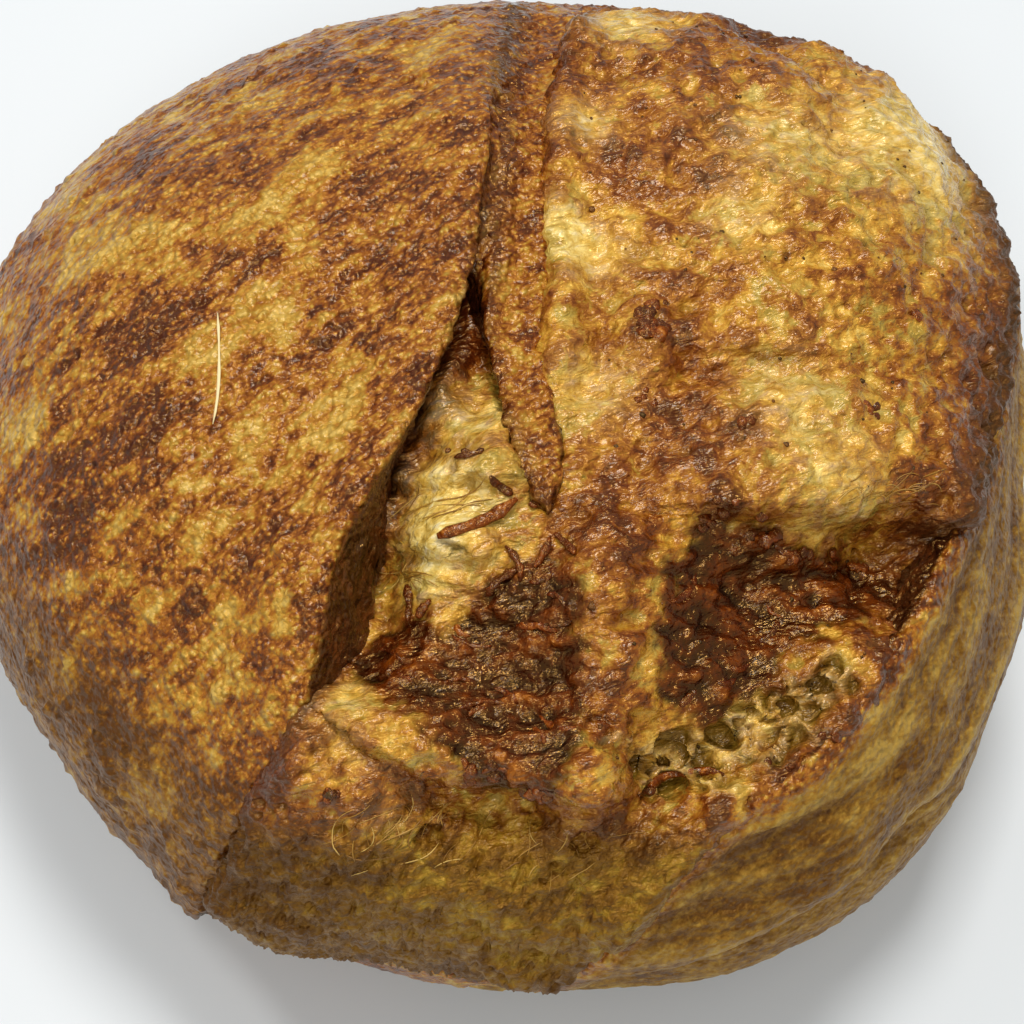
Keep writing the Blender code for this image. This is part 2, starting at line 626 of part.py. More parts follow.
def cut_away(body, cutter):
    """Takes the cutter out of the body, and applies it."""
    cut = body.modifiers.new(cutter.name, "BOOLEAN")
    cut.operation = "DIFFERENCE"
    cut.solver = "EXACT"
    cut.object = cutter
    apply_modifiers(body)


def join_all(body, collection, solver):
    """Joins everything in the collection on to the body as one solid, and removes what was joined."""
    join = body.modifiers.new("join", "BOOLEAN")
    join.operation = "UNION"
    join.solver = solver
    join.operand_type = "COLLECTION"
    join.collection = collection
    apply_modifiers(body)
    for piece in list(collection.objects):
        bpy.data.objects.remove(piece)
    bpy.data.collections.remove(collection)


def apply_modifiers(body):
    bpy.context.view_layer.update()
    graph = bpy.context.evaluated_depsgraph_get()
    mesh = bpy.data.meshes.new_from_object(body.evaluated_get(graph))
    body.modifiers.clear()
    body.data = mesh


def even_out(body):
    """Rebuilds the surface as one closed skin of even faces."""
    remesh = body.modifiers.new("remesh", "REMESH")
    remesh.mode = "VOXEL"
    remesh.voxel_size = SKIN_GRAIN
    apply_modifiers(body)


def simplify(body, most):
    """Merges edges until the body has no more than this many triangles, the flattest places first."""
    now = sum(len(face.vertices) - 2 for face in body.data.polygons)
    thin = body.modifiers.new("thin", "DECIMATE")
    thin.ratio = min(1.0, most / now)
    thin.use_collapse_triangulate = True
    apply_modifiers(body)


def keep_largest(body):
    """Drops loose scraps and fills sealed hollows: only the outer shell of the loaf is kept."""
    shape = bmesh.new()
    shape.from_mesh(body.data)
    left = set(shape.verts)
    shells = []
    while left:
        front = [left.pop()]
        shell = list(front)
        while front:
            near = {edge.other_vert(vert) for vert in front for edge in vert.link_edges} & left
            left -= near
            front = list(near)
            shell += front
        shells.append(shell)
    shells.sort(key=len)
    bmesh.ops.delete(shape, geom=[vert for shell in shells[:-1] for vert in shell], context="VERTS")
    shape.to_mesh(body.data)
    shape.free()


def settle(body):
    """Flattens the underside and puts its middle at the origin."""
    points = np.empty(len(body.data.vertices) * 3)
    body.data.vertices.foreach_get("co", points)
    points = points.reshape(-1, 3)
    points[points[:, 2] < UNDERSIDE_SLACK, 2] = 0.0
    points[:, :2] -= (points[:, :2].min(axis=0) + points[:, :2].max(axis=0)) / 2
    body.data.vertices.foreach_set("co", points.ravel())
    body.data.update()
    shape = bmesh.new()
    shape.from_mesh(body.data)
    under = [face for face in shape.faces if all(vert.co.z == 0.0 for vert in face.verts)]
    bmesh.ops.dissolve_faces(shape, faces=under)
    bmesh.ops.triangulate(shape, faces=[face for face in shape.faces if len(face.verts) > 3])
    shape.to_mesh(body.data)
    shape.free()


def finish(body):
    """The material of the whole loaf: a baked crust."""
    crust = bpy.data.materials.new("baked_crust")
    crust.use_nodes = True
    shader = crust.node_tree.nodes["Principled BSDF"]
    shader.inputs["Base Color"].default_value = CRUST_COLOUR
    shader.inputs["Roughness"].default_value = CRUST_ROUGHNESS
    body.data.materials.clear()
    body.data.materials.append(crust)


def build():
    for old in list(bpy.data.objects):
        bpy.data.objects.remove(old)
    parts = new_collection("parmesan_sourdough")
    cutters = new_collection("cutters")
    inner = new_collection("crumb")
    loaf = add_ball("loaf", whole_crust_rise, 0.0, parts)
    add_ball("crumb_body", open_crumb_rise, CRUST_INSET, inner)
    for name, left, right in (("score_cut", EAR, TONGUE_LEFT), ("tear_cut", TONGUE_RIGHT, RIM)):
        cut_away(loaf, add_cutter(name, left, right, cutters))
    for name, line, rise, run, side in LIPS:
        add_lip(name, line, rise, run, side, inner)
    join_all(loaf, inner, "EXACT")
    even_out(loaf)
    keep_largest(loaf)
    simplify(loaf, MOST_BODY_TRIANGLES)
    toppings = new_collection("toppings")
    add_cheese(toppings)
    add_crags(toppings)
    join_all(loaf, toppings, "MANIFOLD")
    keep_largest(loaf)
    settle(loaf)
    finish(loaf)


build()
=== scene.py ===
# %% [markdown]
# # A round parmesan sourdough loaf
#
# A loaf like this is one ball of dough. It was cut with a blade before baking, and in the oven the crumb
# pushed the cut apart: the crust to its left lifted into an "ear", and the crumb swelled up in the gap. The
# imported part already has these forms. Here the same forms are made again, fine enough to carry the blisters
# of the crust, the torn webs of the crumb and the glaze of the melted cheese.

import math
import random
from types import SimpleNamespace

import bmesh
import bpy
import numpy as np
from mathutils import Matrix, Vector, noise
from mathutils.bvhtree import BVHTree


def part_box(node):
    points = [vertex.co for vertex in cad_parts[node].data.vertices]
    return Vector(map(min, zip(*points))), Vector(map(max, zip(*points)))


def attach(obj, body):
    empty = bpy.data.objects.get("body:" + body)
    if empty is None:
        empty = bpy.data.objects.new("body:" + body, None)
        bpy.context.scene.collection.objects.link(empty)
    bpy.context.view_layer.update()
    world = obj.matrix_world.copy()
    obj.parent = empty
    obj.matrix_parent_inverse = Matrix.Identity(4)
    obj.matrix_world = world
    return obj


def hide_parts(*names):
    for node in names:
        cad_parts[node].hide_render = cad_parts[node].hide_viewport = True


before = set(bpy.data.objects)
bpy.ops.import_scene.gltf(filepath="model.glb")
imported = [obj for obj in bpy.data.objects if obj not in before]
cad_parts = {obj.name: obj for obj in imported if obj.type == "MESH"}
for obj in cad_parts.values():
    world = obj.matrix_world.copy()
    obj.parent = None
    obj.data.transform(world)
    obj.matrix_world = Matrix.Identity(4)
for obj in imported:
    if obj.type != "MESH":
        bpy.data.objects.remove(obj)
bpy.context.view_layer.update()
low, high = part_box("loaf")
loaf_size = high - low
print("the loaf's box in mm:", [round(side * 1000) for side in loaf_size])

# %% [markdown]
# ## Sizes
#
# Everything is in metres, as the frame is. Places on the loaf are given as on a map with the top of the loaf
# at its centre: (u, v) are degrees from the top, u to the right and v to the back, so that the belly of the
# loaf is 90 degrees out all round. One degree is about 2 mm.

# %% Sizes of the ball of dough
MM = 0.001
MEAN_RADIUS = 116 * MM
HEIGHT = 104 * MM
BELLY_HEIGHT = 42 * MM
UNDERSIDE_DROP = 50 * MM
FOOT_HEIGHT = 8 * MM
CRUST_INSET = 7 * MM
UPPER_FULLNESS = 0.80
CROWN_FULLNESS = 0.95
LOWER_FULLNESS = 0.50
UNDERSIDE_FULLNESS = 0.80
# waves round the outline, the height of each in mm, and where it is highest in degrees
OUTLINE_WAVES = ((2, 1.0, -3.0), (3, 3.4, 48.6), (4, 1.8, 38.7), (5, 1.7, 27.4))
print("the ball of dough in mm:", round(2 * MEAN_RADIUS / MM), "wide and", round(HEIGHT / MM), "high")

# %% [markdown]
# The baker's cuts are four lines. Each place on them is (u, v, lean), and lean says how far the cut runs
# sideways under the crust for each millimetre that it goes down.

# %% The lines of the cuts
EAR = (
    (1.5, 60.0, 0.9),
    (0.0, 34.5, 0.9),
    (-1.0, 21.5, 0.9),
    (-1.0, 12.5, 0.9),
    (-1.5, 6.0, 0.9),
    (-1.5, 1.5, 0.8),
    (-2.5, -2.0, 0.7),
    (-5.5, -9.0, 0.4),
    (-9.5, -16.0, 0.0),
    (-13.5, -23.5, -0.3),
    (-16.5, -33.5, -0.4),
    (-18.5, -40.0, -0.3),
    (-21.5, -47.0, 0.0),
    (-26.5, -53.0, 0.3),
    (-32.0, -61.5, 0.3),
    (-39.5, -72.0, 0.3),
    (-50.5, -82.5, 0.3),
    (-54.0, -86.0, 0.3),
)
TONGUE_LEFT = (
    (2.3, 60.0, -0.9),
    (0.7, 34.5, -0.9),
    (-0.3, 21.5, -0.9),
    (-0.3, 12.5, -0.9),
    (-0.9, 6.0, -0.9),
    (-0.8, 1.5, -0.5),
    (-1.0, -2.0, 0.2),
    (-0.5, -7.5, 0.5),
    (1.0, -14.0, 0.4),
    (2.6, -17.5, 0.0),
    (7.5, -22.5, 0.0),
    (9.5, -29.0, 0.0),
    (9.5, -38.0, 0.0),
    (9.0, -48.0, 0.0),
    (9.0, -58.0, 0.0),
    (9.0, -68.0, 0.0),
    (8.5, -78.0, 0.0),
    (8.5, -96.0, 0.0),
)
TONGUE_RIGHT = (
    (11.0, 59.5, 0.2),
    (6.0, 30.0, 0.2),
    (4.0, 18.5, 0.1),
    (3.0, 8.0, 0.0),
    (2.0, 0.0, -0.2),
    (2.5, -5.0, -0.2),
    (3.5, -10.0, -0.2),
    (4.2, -13.5, 0.0),
    (3.2, -18.0, 0.0),
    (2.0, -23.0, 0.0),
    (1.0, -29.5, 0.0),
    (-0.5, -38.5, 0.0),
    (-2.5, -51.0, 0.0),
    (-4.0, -67.5, 0.0),
    (-5.5, -97.0, 0.0),
)
RIM = (
    (19.0, 57.5, 0.3),
    (33.0, 48.0, 0.3),
    (47.0, 44.5, 0.3),
    (57.5, 37.5, 0.3),
    (62.5, 28.0, 0.3),
    (64.0, 15.5, 0.3),
    (63.5, 5.5, 0.3),
    (61.0, -4.5, 0.3),
    (55.0, -15.0, 0.2),
    (49.0, -20.5, 0.0),
    (43.5, -25.5, 0.0),
    (36.0, -35.0, 0.0),
    (28.5, -45.5, 0.1),
    (20.5, -55.5, 0.2),
    (13.5, -74.0, 0.3),
    (7.0, -88.0, 0.3),
    (0.0, -98.0, 0.3),
)
CUT_DEPTH = 20 * MM
CUT_END_DEPTH = 3 * MM
CUT_CLEARANCE = 24 * MM
# the turned-up lips of crust: name, line, rise, how far back it runs, side of the line that it is on
LIPS = (
    ("ear", EAR, 4.2 * MM, 24 * MM, +1),
    ("rim_lip", RIM, 2.8 * MM, 15 * MM, -1),
    ("tongue_lip", TONGUE_LEFT[:9], 1.8 * MM, 7 * MM, -1),
)
LIP_ROOT = 5 * MM
LIP_PROUD = 0.3 * MM
LIP_TUCK = 0.3 * MM
print("turned-up lips:", [name for name, *_ in LIPS])

# %% [markdown]
# The relief is a list of soft swells and hollows, each with a line on the map, a radius and a rise in mm.
# Swells on the crust come first, and those of the torn crumb after them.

# %% Swells and hollows
CRUST_SWELLS = (
    ("crown of the left half", ((-30.0, 5.0), (-36.0, -22.0)), 34, 2.0),
    ("tongue sinks beside the ear", ((3.0, 40.0), (1.2, 12.0), (0.8, -6.0)), 9, -2.2),
    ("corner where the ear ends", ((-46.0, -80.0),), 12, 4.5),
    ("notch in front of that corner", ((-34.0, -88.0),), 16, -4.0),
    ("foot at the front right", ((52.0, -96.0), (68.0, -78.0)), 16, 1.5),
    ("fold over that foot", ((20.0, -94.0), (40.0, -79.0), (56.0, -62.0)), 7, -4.5),
    ("belly band over the fold", ((4.0, -90.0), (24.0, -80.0), (42.0, -66.0)), 9, 2.5),
    ("knuckle at the right", ((84.0, -30.0),), 16, 3.0),
)
CRUMB_LEVEL = -2.5
EAR_FOOT = ((-17.0, -39.0), (-20.0, -47.0), (-24.5, -53.5), (-30.0, -61.5), (-37.5, -72.0))
CRUMB_SWELLS = (
    ("trough beside the ear", ((-6.0, -12.0), (-10.5, -22.0)), 9, -9.5),
    ("shallower end of that trough", ((-10.5, -22.0), (-14.0, -34.0)), 8, -6.0),
    ("crumb drawn up to the ear", EAR_FOOT, 6, 3.4),
    ("trough under the tongue", ((-1.0, 4.0), (-1.5, -6.0)), 7, -7.0),
    ("upper block of pale crumb", ((-3.0, -10.0),), 9, 4.0),
    ("middle block of pale crumb", ((-5.5, -17.5),), 9, 3.6),
    ("lower block of pale crumb", ((-8.0, -23.5),), 8, 3.0),
    ("left cheese bed", ((-8.0, -30.0), (-2.0, -35.0)), 16, -3.5),
    ("lower edge of the left cheese", ((-8.0, -41.5), (0.0, -45.5), (6.0, -46.5)), 8, 5.0),
    ("shadow under that edge", ((-7.0, -51.0), (2.0, -52.5)), 6, -5.0),
    ("knuckle below the ear", ((-17.5, -46.5), (-14.0, -51.0)), 11, 7.0),
    ("heel of the ear", ((-24.0, -62.0), (-30.0, -74.0)), 12, 4.0),
    ("toe of the ear", ((-38.0, -80.0), (-40.0, -90.0)), 12, 5.0),
    ("front face", ((-12.0, -66.0), (4.0, -72.0)), 26, 5.0),
    ("great dome", ((24.0, 24.0), (29.0, 6.0)), 30, 7.0),
    ("swelling at the back", ((24.0, 46.0), (40.0, 38.0)), 22, 3.0),
    ("far shoulder", ((40.0, 26.0), (50.0, 14.0)), 22, 4.5),
    ("fold in the far shoulder", ((27.0, 42.0), (32.0, 30.0), (30.0, 18.0)), 6, -4.0),
    ("lower half of the dome", ((30.0, -13.0), (42.0, -9.0)), 18, 6.0),
    ("crease across the dome", ((14.0, -5.5), (30.0, -6.0), (44.0, -4.0)), 4, -3.0),
    ("dark lump of cheese", ((10.5, -3.0),), 6, 2.2),
    ("pale channel by the tongue", ((5.0, 6.0), (5.5, -6.0)), 6, -3.0),
    ("ridge between the cheeses", ((7.5, -22.0), (8.5, -34.0), (8.5, -46.0)), 8, 5.5),
    ("right cheese bed", ((22.0, -26.0), (32.0, -24.0)), 14, -8.5),
    ("shaded hollow by the rim", ((38.0, -22.5), (41.0, -25.5)), 9, -8.5),
    ("honeycomb", ((15.0, -46.5), (26.0, -41.0)), 11, -4.0),
    ("shelf along the rim", ((30.0, -34.0), (22.0, -47.0)), 8, 3.5),
    ("crumb that clings to the tongue", ((7.5, 38.0), (5.5, 26.0), (4.0, 12.0), (3.2, -3.0)), 5, 3.2),
    ("crumb level with the front rim", ((25.0, -49.5), (19.0, -57.0), (13.5, -72.0)), 6, 3.6),
    ("crumb that clings to the rim", ((55.0, 36.0), (60.5, 27.0), (61.5, 6.0), (58.5, -4.5)), 6, 3.0),
    ("crumb in front of the hollow", ((41.0, -27.5), (35.0, -35.0), (28.0, -44.5)), 6, 4.5),
    ("crumb behind the hollow", ((54.5, -13.0), (48.5, -19.5)), 6, 4.0),
    ("crumb closed over the front edge", ((1.0, -85.0), (9.0, -87.5)), 5, 3.0),
)
# steps that stand up behind a line: name, line, rise and how far back it runs, in mm
CRUMB_LEDGES = (
    ("shelf over the right cheese", ((17.0, -17.5), (26.0, -18.5), (35.0, -19.5), (44.0, -20.5)), 6.0, 10),
    ("upper block of the score", ((-8.0, -14.2), (-3.5, -14.6), (1.5, -15.0)), 4.0, 6),
    ("middle block of the score", ((-10.0, -20.5), (-6.5, -21.3), (-3.0, -22.5)), 3.0, 6),
    ("sill of the left cheese", ((-13.0, -43.0), (-4.0, -48.5), (8.0, -49.0)), 4.5, 8),
)
LEDGE_FALL = 1.2
# round pits of the torn crumb: (u, v, radius in mm)
PITS = (
    (8.2, -41.5, 3.4),
    (26.7, -38.4, 3.4),
    (29.5, -36.4, 3.2),
    (20.5, -44.4, 5.0),
    (24.2, -41.8, 4.4),
    (16.2, -47.4, 5.2),
    (12.0, -45.5, 3.0),
    (8.2, -56.5, 3.2),
    (-1.5, -56.0, 3.2),
    (3.5, -54.0, 2.4),
    (-8.0, -57.0, 3.0),
)
PIT_DEPTH = 0.75
# unevenness without a name of its own: (rise in mm, width in mm, seed)
CRUST_UNEVENNESS = ((1.3, 34, 1), (0.6, 13, 2))
CRUMB_UNEVENNESS = ((1.2, 12, 3), (0.7, 6, 4))
print("swells of the crust:", len(CRUST_SWELLS), "and of the crumb:", len(CRUMB_SWELLS))

# %% [markdown]
# ## The ball of dough
#
# A sphere would be too simple for a hearth loaf, which is wide, full at the shoulder and flat below. A
# sphere's direction is turned into a point of the loaf by a few powers and waves, so any mesh that starts as
# a sphere or as a map can be drawn on to it.


# %% From the map to the ball
def directions_of(places):
    """Unit vectors for places on the map, in degrees."""
    places = np.radians(np.asarray(places, float))
    away = np.hypot(places[:, 0], places[:, 1])
    turn = np.arctan2(places[:, 1], places[:, 0])
    return np.stack([np.sin(away) * np.cos(turn), np.sin(away) * np.sin(turn), np.cos(away)], axis=1)


def ball(directions):
    """Points of the ball of dough, without any relief."""
    turn = np.arctan2(directions[:, 1], directions[:, 0])
    radius = np.full(len(directions), MEAN_RADIUS)
    for count, rise, crest in OUTLINE_WAVES:
        radius += rise * MM * np.cos(count * (turn - math.radians(crest)))
    level = np.hypot(directions[:, 0], directions[:, 1])
    rise = np.abs(directions[:, 2])
    above = directions[:, 2] > 0
    reach = radius * level ** np.where(above, UPPER_FULLNESS, LOWER_FULLNESS)
    crown = BELLY_HEIGHT + (HEIGHT - BELLY_HEIGHT) * rise**CROWN_FULLNESS
    under = BELLY_HEIGHT - UNDERSIDE_DROP * rise**UNDERSIDE_FULLNESS
    height = np.where(above, crown, np.maximum(under, 0.0))
    return np.stack([reach * np.cos(turn), reach * np.sin(turn), height], axis=1)


def outward(points):
    """The way that the ball's surface faces, as on the ellipsoid that it resembles."""
    depth = np.where(points[:, 2] > BELLY_HEIGHT, HEIGHT - BELLY_HEIGHT, UNDERSIDE_DROP)
    across = points[:, :2] / MEAN_RADIUS**2
    facing = np.column_stack([across, (points[:, 2] - BELLY_HEIGHT) / depth**2])
    return facing / np.linalg.norm(facing, axis=1, keepdims=True)


def on_ball(places):
    return ball(directions_of(places))


def direction_at(points):
    """The direction whose point on the ball is nearest to a point close to the ball."""
    turn = np.arctan2(points[:, 1], points[:, 0])
    reach = ball(np.stack([np.cos(turn), np.sin(turn), 0 * turn], axis=1))
    level = np.hypot(points[:, 0], points[:, 1]) / np.hypot(reach[:, 0], reach[:, 1])
    above = points[:, 2] > BELLY_HEIGHT
    level = np.clip(level, 0, 1) ** (1 / np.where(above, UPPER_FULLNESS, LOWER_FULLNESS))
    depth = np.where(above, HEIGHT - BELLY_HEIGHT, UNDERSIDE_DROP)
    rise = np.clip(np.abs(points[:, 2] - BELLY_HEIGHT) / depth, 0, 1)
    rise = rise ** (1 / np.where(above, CROWN_FULLNESS, UNDERSIDE_FULLNESS))
    direction = np.stack([level * np.cos(turn), level * np.sin(turn), np.where(above, rise, -rise)], axis=1)
    return direction / np.hypot(level, rise)[:, None]


def map_of(directions):
    """The place on the map of each direction, in degrees."""
    away = np.degrees(np.arctan2(np.hypot(directions[:, 0], directions[:, 1]), directions[:, 2]))
    turn = np.arctan2(directions[:, 1], directions[:, 0])
    return np.stack([away * np.cos(turn), away * np.sin(turn)], axis=1)


print("belly radius to the right in mm:", round(1000 * np.linalg.norm(on_ball(((90.0, 0.0),))[0, :2])))


# %% Lines, and how far a point is from one
STEPS_BETWEEN_STOPS = 12
STOPS_PER_PLACE = 6


def smooth_line(points, count):
    """A Catmull-Rom curve through the points, read at evenly spaced places along it."""
    points = np.asarray(points, float)
    padded = np.vstack([2 * points[0] - points[1], points, 2 * points[-1] - points[-2]])
    fine = []
    for k in range(len(points) - 1):
        a, b, c, d = padded[k : k + 4]
        bends = (2 * a - 5 * b + 4 * c - d), (3 * b - a - 3 * c + d)
        for t in np.linspace(0, 1, STEPS_BETWEEN_STOPS, endpoint=False):
            fine.append(0.5 * (2 * b + (c - a) * t + bends[0] * t**2 + bends[1] * t**3))
    fine = np.vstack([*fine, points[-1]])
    steps = np.linalg.norm(np.diff(fine[:, :2], axis=0), axis=1)
    along = np.concatenate([[0], np.cumsum(steps)])
    wanted = np.linspace(0, along[-1], count)
    return np.stack([np.interp(wanted, along, fine[:, k]) for k in range(points.shape[1])], axis=1)


def measure(points, line, reach=1.0):
    """Distance of each point to a line on the ball, up to reach, and its side: +1 to the line's right."""
    count = STOPS_PER_PLACE * len(line) if len(line) > 3 else 3 * len(line) - 2
    stops = on_ball(smooth_line([place[:2] for place in line], count)) if len(line) > 1 else on_ball(line)
    middle = stops.mean(axis=0)
    span = np.linalg.norm(stops - middle, axis=1).max() + reach
    within = np.flatnonzero(np.linalg.norm(points - middle, axis=1) < span)
    nearest = np.full(len(points), np.inf)
    side = np.zeros(len(points))
    if len(stops) == 1:
        nearest[within] = np.linalg.norm(points[within] - middle, axis=1)
        return nearest, side
    close, found = nearest[within], side[within]
    for start, end in zip(stops[:-1], stops[1:]):
        run = end - start
        along = np.clip((points[within] - start) @ run / (run @ run), 0, 1)
        apart = points[within] - start - along[:, None] * run
        distance = np.linalg.norm(apart, axis=1)
        facing = outward(((start + end) / 2)[None])[0]
        closer = distance < close
        close = np.where(closer, distance, close)
        found = np.where(closer, np.sign(apart @ np.cross(run, facing)), found)
    nearest[within], side[within] = close, found
    return nearest, side


def signed(points, line):
    """Distance to a line, positive on its right and negative on its left."""
    distance, side = measure(points, line)
    return distance * np.where(side > 0, 1, -1)


rim_stops = on_ball(smooth_line(RIM, 60)[:, :2])
print("length of the rim in mm:", round(np.linalg.norm(np.diff(rim_stops, axis=0), axis=1).sum() / MM))


# %% Noise
SEED_SHIFT = 17.31


def sample(kind, points, size, seed):
    """Reads one of Blender's noises at each point, with features of about the given size."""
    return np.array([kind(Vector(place)) for place in points / size + seed * SEED_SHIFT])


def waves(points, size, seed, octaves=1):
    """Smooth noise from about -1 to 1."""
    if octaves == 1:
        return sample(noise.noise, points, size, seed)
    return sample(lambda place: noise.fractal(place, 1.0, 2.0, octaves), points, size, seed)


def crests(values, sharpness=2.2):
    """Turns noise into sharp crests between soft hollows: 1 on a crest, below 0 in a hollow."""
    return 1 - sharpness * np.abs(values)


def cells(points, size, seed):
    """Distance to the nearest and the second nearest of scattered cell centres, in cells."""
    return sample(lambda place: noise.voronoi(place)[0][:2], points, size, seed).T


def domes(points, size, reach, seed):
    """One round bump in each cell of this size, from 1 at its centre to 0 at its reach, in cells."""
    return np.clip(1 - (cells(points, size, seed)[0] / reach) ** 2, 0, 1)


# %% Shares from 0 to 1
def smooth_step(low, high, values):
    share = np.clip((values - low) / (high - low), 0, 1)
    return share * share * (3 - 2 * share)


def blend(under, over, share):
    return under * (1 - share) + over * share


def near(distance, width, middle=0.0):
    """1 where the distance is the middle one, and less over a width on both sides, both of these in mm."""
    return np.exp(-(((distance / MM - middle) / width) ** 2))

# %% [markdown]
# ## Relief
#
# The relief of the CAD solid is repeated, so that the visual loaf has the same forms.


# %% Relief of the crust and of the crumb
def swell(points, line, radius, rise):
    distance, _ = measure(points, line, 3 * radius * MM)
    return rise * MM * near(distance, radius)


def ledge(points, line, rise, run):
    """Highest at the line, falling away slowly over run on its left and steeply on its right."""
    distance, side = measure(points, line, 3 * run * MM)
    return rise * MM * np.exp(-((distance / np.where(side < 0, run * MM, LEDGE_FALL * MM)) ** 2))


def lattice_value(cell, seed):
    """A repeatable number from -1 to 1 for each cell of a lattice."""
    x, y, z = (cell[..., k].astype(np.int64) for k in range(3))
    mixed = (x * 73856093) ^ (y * 19349663) ^ (z * 83492791) ^ (seed * 2654435761)
    mixed = (mixed ^ (mixed >> 13)) * 1274126177 & 0xFFFFFFFF
    mixed = mixed ^ (mixed >> 16)
    return (mixed & 0xFFFF) / 32767.5 - 1.0


def wave_noise(points, size, seed):
    """The same unevenness that the CAD solid has, with bumps about as wide as size."""
    scaled = points / size
    cell = np.floor(scaled)
    part = scaled - cell
    eased = part * part * (3.0 - 2.0 * part)
    total = np.zeros(len(points))
    for corner in range(8):
        step = np.array([(corner >> k) & 1 for k in range(3)])
        weight = np.prod(np.where(step, eased, 1.0 - eased), axis=1)
        total += weight * lattice_value(cell + step, seed)
    return total


def uneven(points, layers, swells):
    """The rise of some layers of unevenness and of the named swells together."""
    rise = sum(height * MM * wave_noise(points, width * MM, seed) for height, width, seed in layers)
    for _, line, radius, height in swells:
        rise += swell(points, line, radius, height)
    return rise


def above_foot(points):
    """0 on the board and 1 above the foot of the loaf, where relief may begin."""
    return np.clip(points[:, 2] / FOOT_HEIGHT, 0, 1)


def crust_rise(points):
    return uneven(points, CRUST_UNEVENNESS, CRUST_SWELLS) * above_foot(points)


def crumb_rise(points):
    rise = CRUMB_LEVEL * MM + uneven(points, CRUMB_UNEVENNESS, CRUMB_SWELLS)
    for _, line, height, run in CRUMB_LEDGES:
        rise += ledge(points, line, height, run)
    for u, v, radius in PITS:
        distance, _ = measure(points, ((u, v),), radius * MM)
        rise -= PIT_DEPTH * radius * MM * np.clip(1.0 - (distance / (radius * MM)) ** 2, 0, None) ** 0.5
    return rise

# %% [markdown]
# ## The crust
#
# The crust starts as a fine icosphere on the ball. Two thick patches cut the score and the tear out of it,
# and wedges along the cuts are the lips that turned up. A voxel remesh then makes one even skin of it, which
# is the easiest mesh to roughen, because all its faces have the same size.


# %% Mesh helpers
def new_mesh_object(name, points, faces):
    mesh = bpy.data.meshes.new(name)
    mesh.from_pydata([tuple(point) for point in points], [], faces)
    mesh.update()
    made = bpy.data.objects.new(name, mesh)
    bpy.context.scene.collection.objects.link(made)
    return made


def points_of(mesh, what="co"):
    flat = np.empty(len(mesh.vertices) * 3)
    mesh.vertices.foreach_get(what, flat)
    return flat.reshape(-1, 3)


def facing_of(mesh):
    return points_of(mesh, "normal")


def move_points(mesh, points):
    mesh.vertices.foreach_set("co", points.ravel())
    mesh.update()


def store(mesh, name, values):
    """Keeps a value for each vertex, which the material reads by this name."""
    layer = mesh.attributes.new(name, "FLOAT", "POINT")
    layer.data.foreach_set("value", np.asarray(values, np.float32))


def apply_modifiers(body):
    bpy.context.view_layer.update()
    graph = bpy.context.evaluated_depsgraph_get()
    mesh = bpy.data.meshes.new_from_object(body.evaluated_get(graph))
    body.modifiers.clear()
    body.data = mesh


def slab(name, upper, lower):
    """A closed solid between two grids of points that have the same rows and columns."""
    rows, columns = upper.shape[:2]
    count = rows * columns
    faces = []
    for row in range(rows - 1):
        for column in range(columns - 1):
            here = row * columns + column
            ring = (here, here + 1, here + columns + 1, here + columns)
            faces.append(ring)
            faces.append(tuple(count + k for k in reversed(ring)))
    border = [row * columns for row in range(rows)]
    border += [(rows - 1) * columns + column for column in range(1, columns)]
    border += [row * columns + columns - 1 for row in range(rows - 2, -1, -1)]
    border += list(range(columns - 2, 0, -1))
    for here, there in zip(border, border[1:] + border[:1]):
        faces.append((here, there, count + there, count + here))
    made = new_mesh_object(name, np.vstack([upper.reshape(-1, 3), lower.reshape(-1, 3)]), faces)
    shape = bmesh.new()
    shape.from_mesh(made.data)
    bmesh.ops.recalc_face_normals(shape, faces=shape.faces)
    shape.to_mesh(made.data)
    shape.free()
    return made


# %% Cutters and lips
CUT_STATIONS = 110
CUT_COLUMNS = 20
LIP_COLUMNS = 14
CUT_FADE = 0.11
LIP_FADE = 0.26


def fade_to_ends(count, share):
    """1 along a line, and down to 0 at both of its ends."""
    from_end = np.minimum(np.arange(count), np.arange(count)[::-1])
    return np.clip(from_end / (share * count), 0, 1)[:, None, None]


def lip_height(line):
    return next((rise for _, lipped, rise, _, _ in LIPS if lipped[0] == line[0]), 0.0)


def make_cutter(name, left, right):
    """A thick patch between two lines on the ball. Its side walls lean as the lines' third number says."""
    pivots = lip_height(left), lip_height(right)
    left = smooth_line(left, CUT_STATIONS)
    right = smooth_line(right, CUT_STATIONS)
    share = np.linspace(0, 1, CUT_COLUMNS)[None, :, None]
    places = left[:, None, :2] * (1 - share) + right[:, None, :2] * share
    surface = on_ball(places.reshape(-1, 2))
    facing = outward(surface).reshape(CUT_STATIONS, CUT_COLUMNS, 3)
    surface = surface.reshape(CUT_STATIONS, CUT_COLUMNS, 3)
    across = surface[:, -1:] - surface[:, :1]
    across /= np.linalg.norm(across, axis=2, keepdims=True)
    lean = left[:, None, 2:3] * (1 - share) - right[:, None, 2:3] * share
    pivot = pivots[0] * (1 - share) + pivots[1] * share
    depth = CUT_END_DEPTH + (CUT_DEPTH - CUT_END_DEPTH) * fade_to_ends(CUT_STATIONS, CUT_FADE)
    upper = surface + facing * CUT_CLEARANCE + across * lean * (CUT_CLEARANCE - pivot)
    lower = surface - facing * depth - across * lean * (depth + pivot)
    return slab(name, upper, lower)


